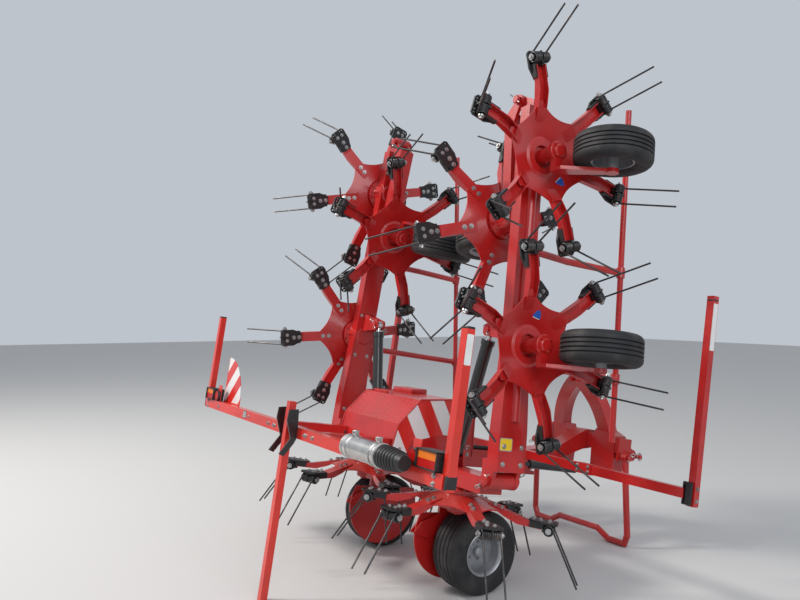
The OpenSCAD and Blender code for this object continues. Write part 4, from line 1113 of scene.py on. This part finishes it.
def link_pins():
    heads, clips = bmesh.new(), bmesh.new()
    for side, _ in SIDES:
        linchpin(clips, (side * LINK_PIN[0], *LINK_PIN[1:]), LINK_PIN_RADIUS)
        pin_head(heads, clips, (side * STAND_PIN[0], *STAND_PIN[1:]), (side, 0, 0), 0.017)
    finished("link_pins", heads, PARKED, red_paint, "headstock")
    finished("link_pin_clips", clips, PARKED, zinc, "headstock")


link_pins()
print("lower link and stand pins in place")

# %% [markdown]
# Each wing's root box and gearboxes are bolted to its beam, and the shaft that drives the rotors shows under
# the beam as a round red tube. Two blank films sit near the right wing's root.

# %% Wing bolts, shaft tubes and films
BEAM_Z = 0.632
BEAM_HALF = 0.036
ROOT_HALF = 0.042
SHAFT_TUBES = ((1.15, 1.42), (1.68, 2.44), (2.70, 2.84))
SHAFT_RADIUS = 0.028


def wing_trim(side, word):
    bolts, tubes = bmesh.new(), bmesh.new()
    for steps in (1.5, 2.5):
        for offset in (-0.14, 0.14):
            for y in (ROTOR_Y - 0.048, ROTOR_Y + 0.048):
                bolt(bolts, (side * (steps * ROTOR_PITCH + offset), y, BEAM_Z + BEAM_HALF), UP, 0.01)
    for x in (0.93, 1.02):
        for y in (ROTOR_Y - 0.06, ROTOR_Y + 0.06):
            bolt(bolts, (side * x, y, BEAM_Z + ROOT_HALF), UP, 0.01)
            bolt(bolts, (side * x, y, BEAM_Z - ROOT_HALF), DOWN, 0.01)
    for start, end in SHAFT_TUBES:
        bar(tubes, (side * start, ROTOR_Y, BEAM_Z - BEAM_HALF), (side * end, ROTOR_Y, BEAM_Z - BEAM_HALF),
            SHAFT_RADIUS, 24)
    finished("wing_bolts_" + word, bolts, WING[side], zinc, "wing_" + word)
    finished("wing_shaft_tubes_" + word, tubes, WING[side], red_paint, "wing_" + word)


for side, word in SIDES:
    wing_trim(side, word)
film("root_film_yellow", (1.03, -0.207, 0.5895), (0, 1, 0), (1, 0, 0), (0.084, 0.066), yellow_film, grey_film,
     WING[1], "wing_right")
film("root_film_white", (1.3, -0.2365, 0.65), (0, 0, -1), (1, 0, 0), (0.04, 0.09), white_film, blue_film,
     WING[1], "wing_right")
print("wings dressed,", len(SHAFT_TUBES), "shaft tubes on each")

# %% [markdown]
# Two rotors carry a small blue film under their dish, between two arms. A dish is a shallow cone there, so
# the film is tilted by the cone's slope, and then turned about the rotor's axis to its place.

# %% Blue films under the dishes
DISH_FILMS = ((5, -37), (6, 90))
DISH_FILM_RADIUS = 0.18
DISH_SLOPE = atan2(1, 3)
HUB_RADIUS = 0.112
HUB_UNDER = 0.0654


def dish_film(row, angle):
    """On the lower side of a rotor's dish, which falls by one in three outside its hub."""
    turn = Matrix.Rotation(radians(angle), 3, "Z")
    under = HUB_UNDER - (DISH_FILM_RADIUS - HUB_RADIUS) / 3
    outward = turn @ Vector((cos(DISH_SLOPE), 0, -sin(DISH_SLOPE)))
    film("dish_film_" + ROWS[row][0], turn @ Vector((DISH_FILM_RADIUS, 0, under)), turn @ Vector((0, 1, 0)),
         outward, (0.066, 0.06), blue_film, white_film, rotor_matrix(row), "rotor_" + ROWS[row][0])


for row, angle in DISH_FILMS:
    dish_film(row, angle)
print("blue films on", len(DISH_FILMS), "dishes")

# %% [markdown]
# The stage is a pale floor under a soft, even light. The sun of the photograph stood behind the machine's
# left side, so the strong lamp is there: it leaves the rotors that face the camera in a soft shade. A wide
# weak lamp on the right and a pale sky fill that shade.

# %% Floor
FLOOR_HALF = 30
FLOOR_GREY = (0.56, 0.55, 0.54, 1)


def floor():
    mesh = bmesh.new()
    bmesh.ops.create_grid(mesh, x_segments=1, y_segments=1, size=FLOOR_HALF)
    data = bpy.data.meshes.new("floor")
    mesh.to_mesh(data)
    mesh.free()
    data.materials.append(Finish("floor", Roughness=0.9, Base_Color=FLOOR_GREY).material)
    piece = bpy.data.objects.new("floor", data)
    bpy.context.collection.objects.link(piece)


floor()
print("floor", 2 * FLOOR_HALF, "m wide")

# %% Lamps and sky
LIT_POINT = Vector((0, 0, 1))
SKY_BLUE = (0.86, 0.92, 1.0, 1)
SKY_STRENGTH = 0.6


def lamp(name, at, power, size, colour):
    """A square lamp that faces the middle of the machine; power in watts, size in metres."""
    data = bpy.data.lights.new(name, "AREA")
    data.energy, data.size, data.color = power, size, colour
    piece = bpy.data.objects.new(name, data)
    bpy.context.collection.objects.link(piece)
    piece.location = at
    piece.rotation_mode = "QUATERNION"
    piece.rotation_quaternion = (LIT_POINT - Vector(at)).to_track_quat("-Z", "Y")


lamp("sun_side", (-4.5, -6.5, 8.0), 900, 1.6, (1.0, 0.96, 0.9))
lamp("near_side", (6.5, -2.0, 5.0), 240, 5.0, (0.93, 0.96, 1.0))
world = bpy.data.worlds.new("sky")
bpy.context.scene.world = world
world.use_nodes = True
sky = world.node_tree.nodes["Background"]
sky.inputs["Color"].default_value = SKY_BLUE
sky.inputs["Strength"].default_value = SKY_STRENGTH
bpy.context.scene.view_settings.view_transform = "Standard"
print("two lamps and a sky of strength", SKY_STRENGTH)
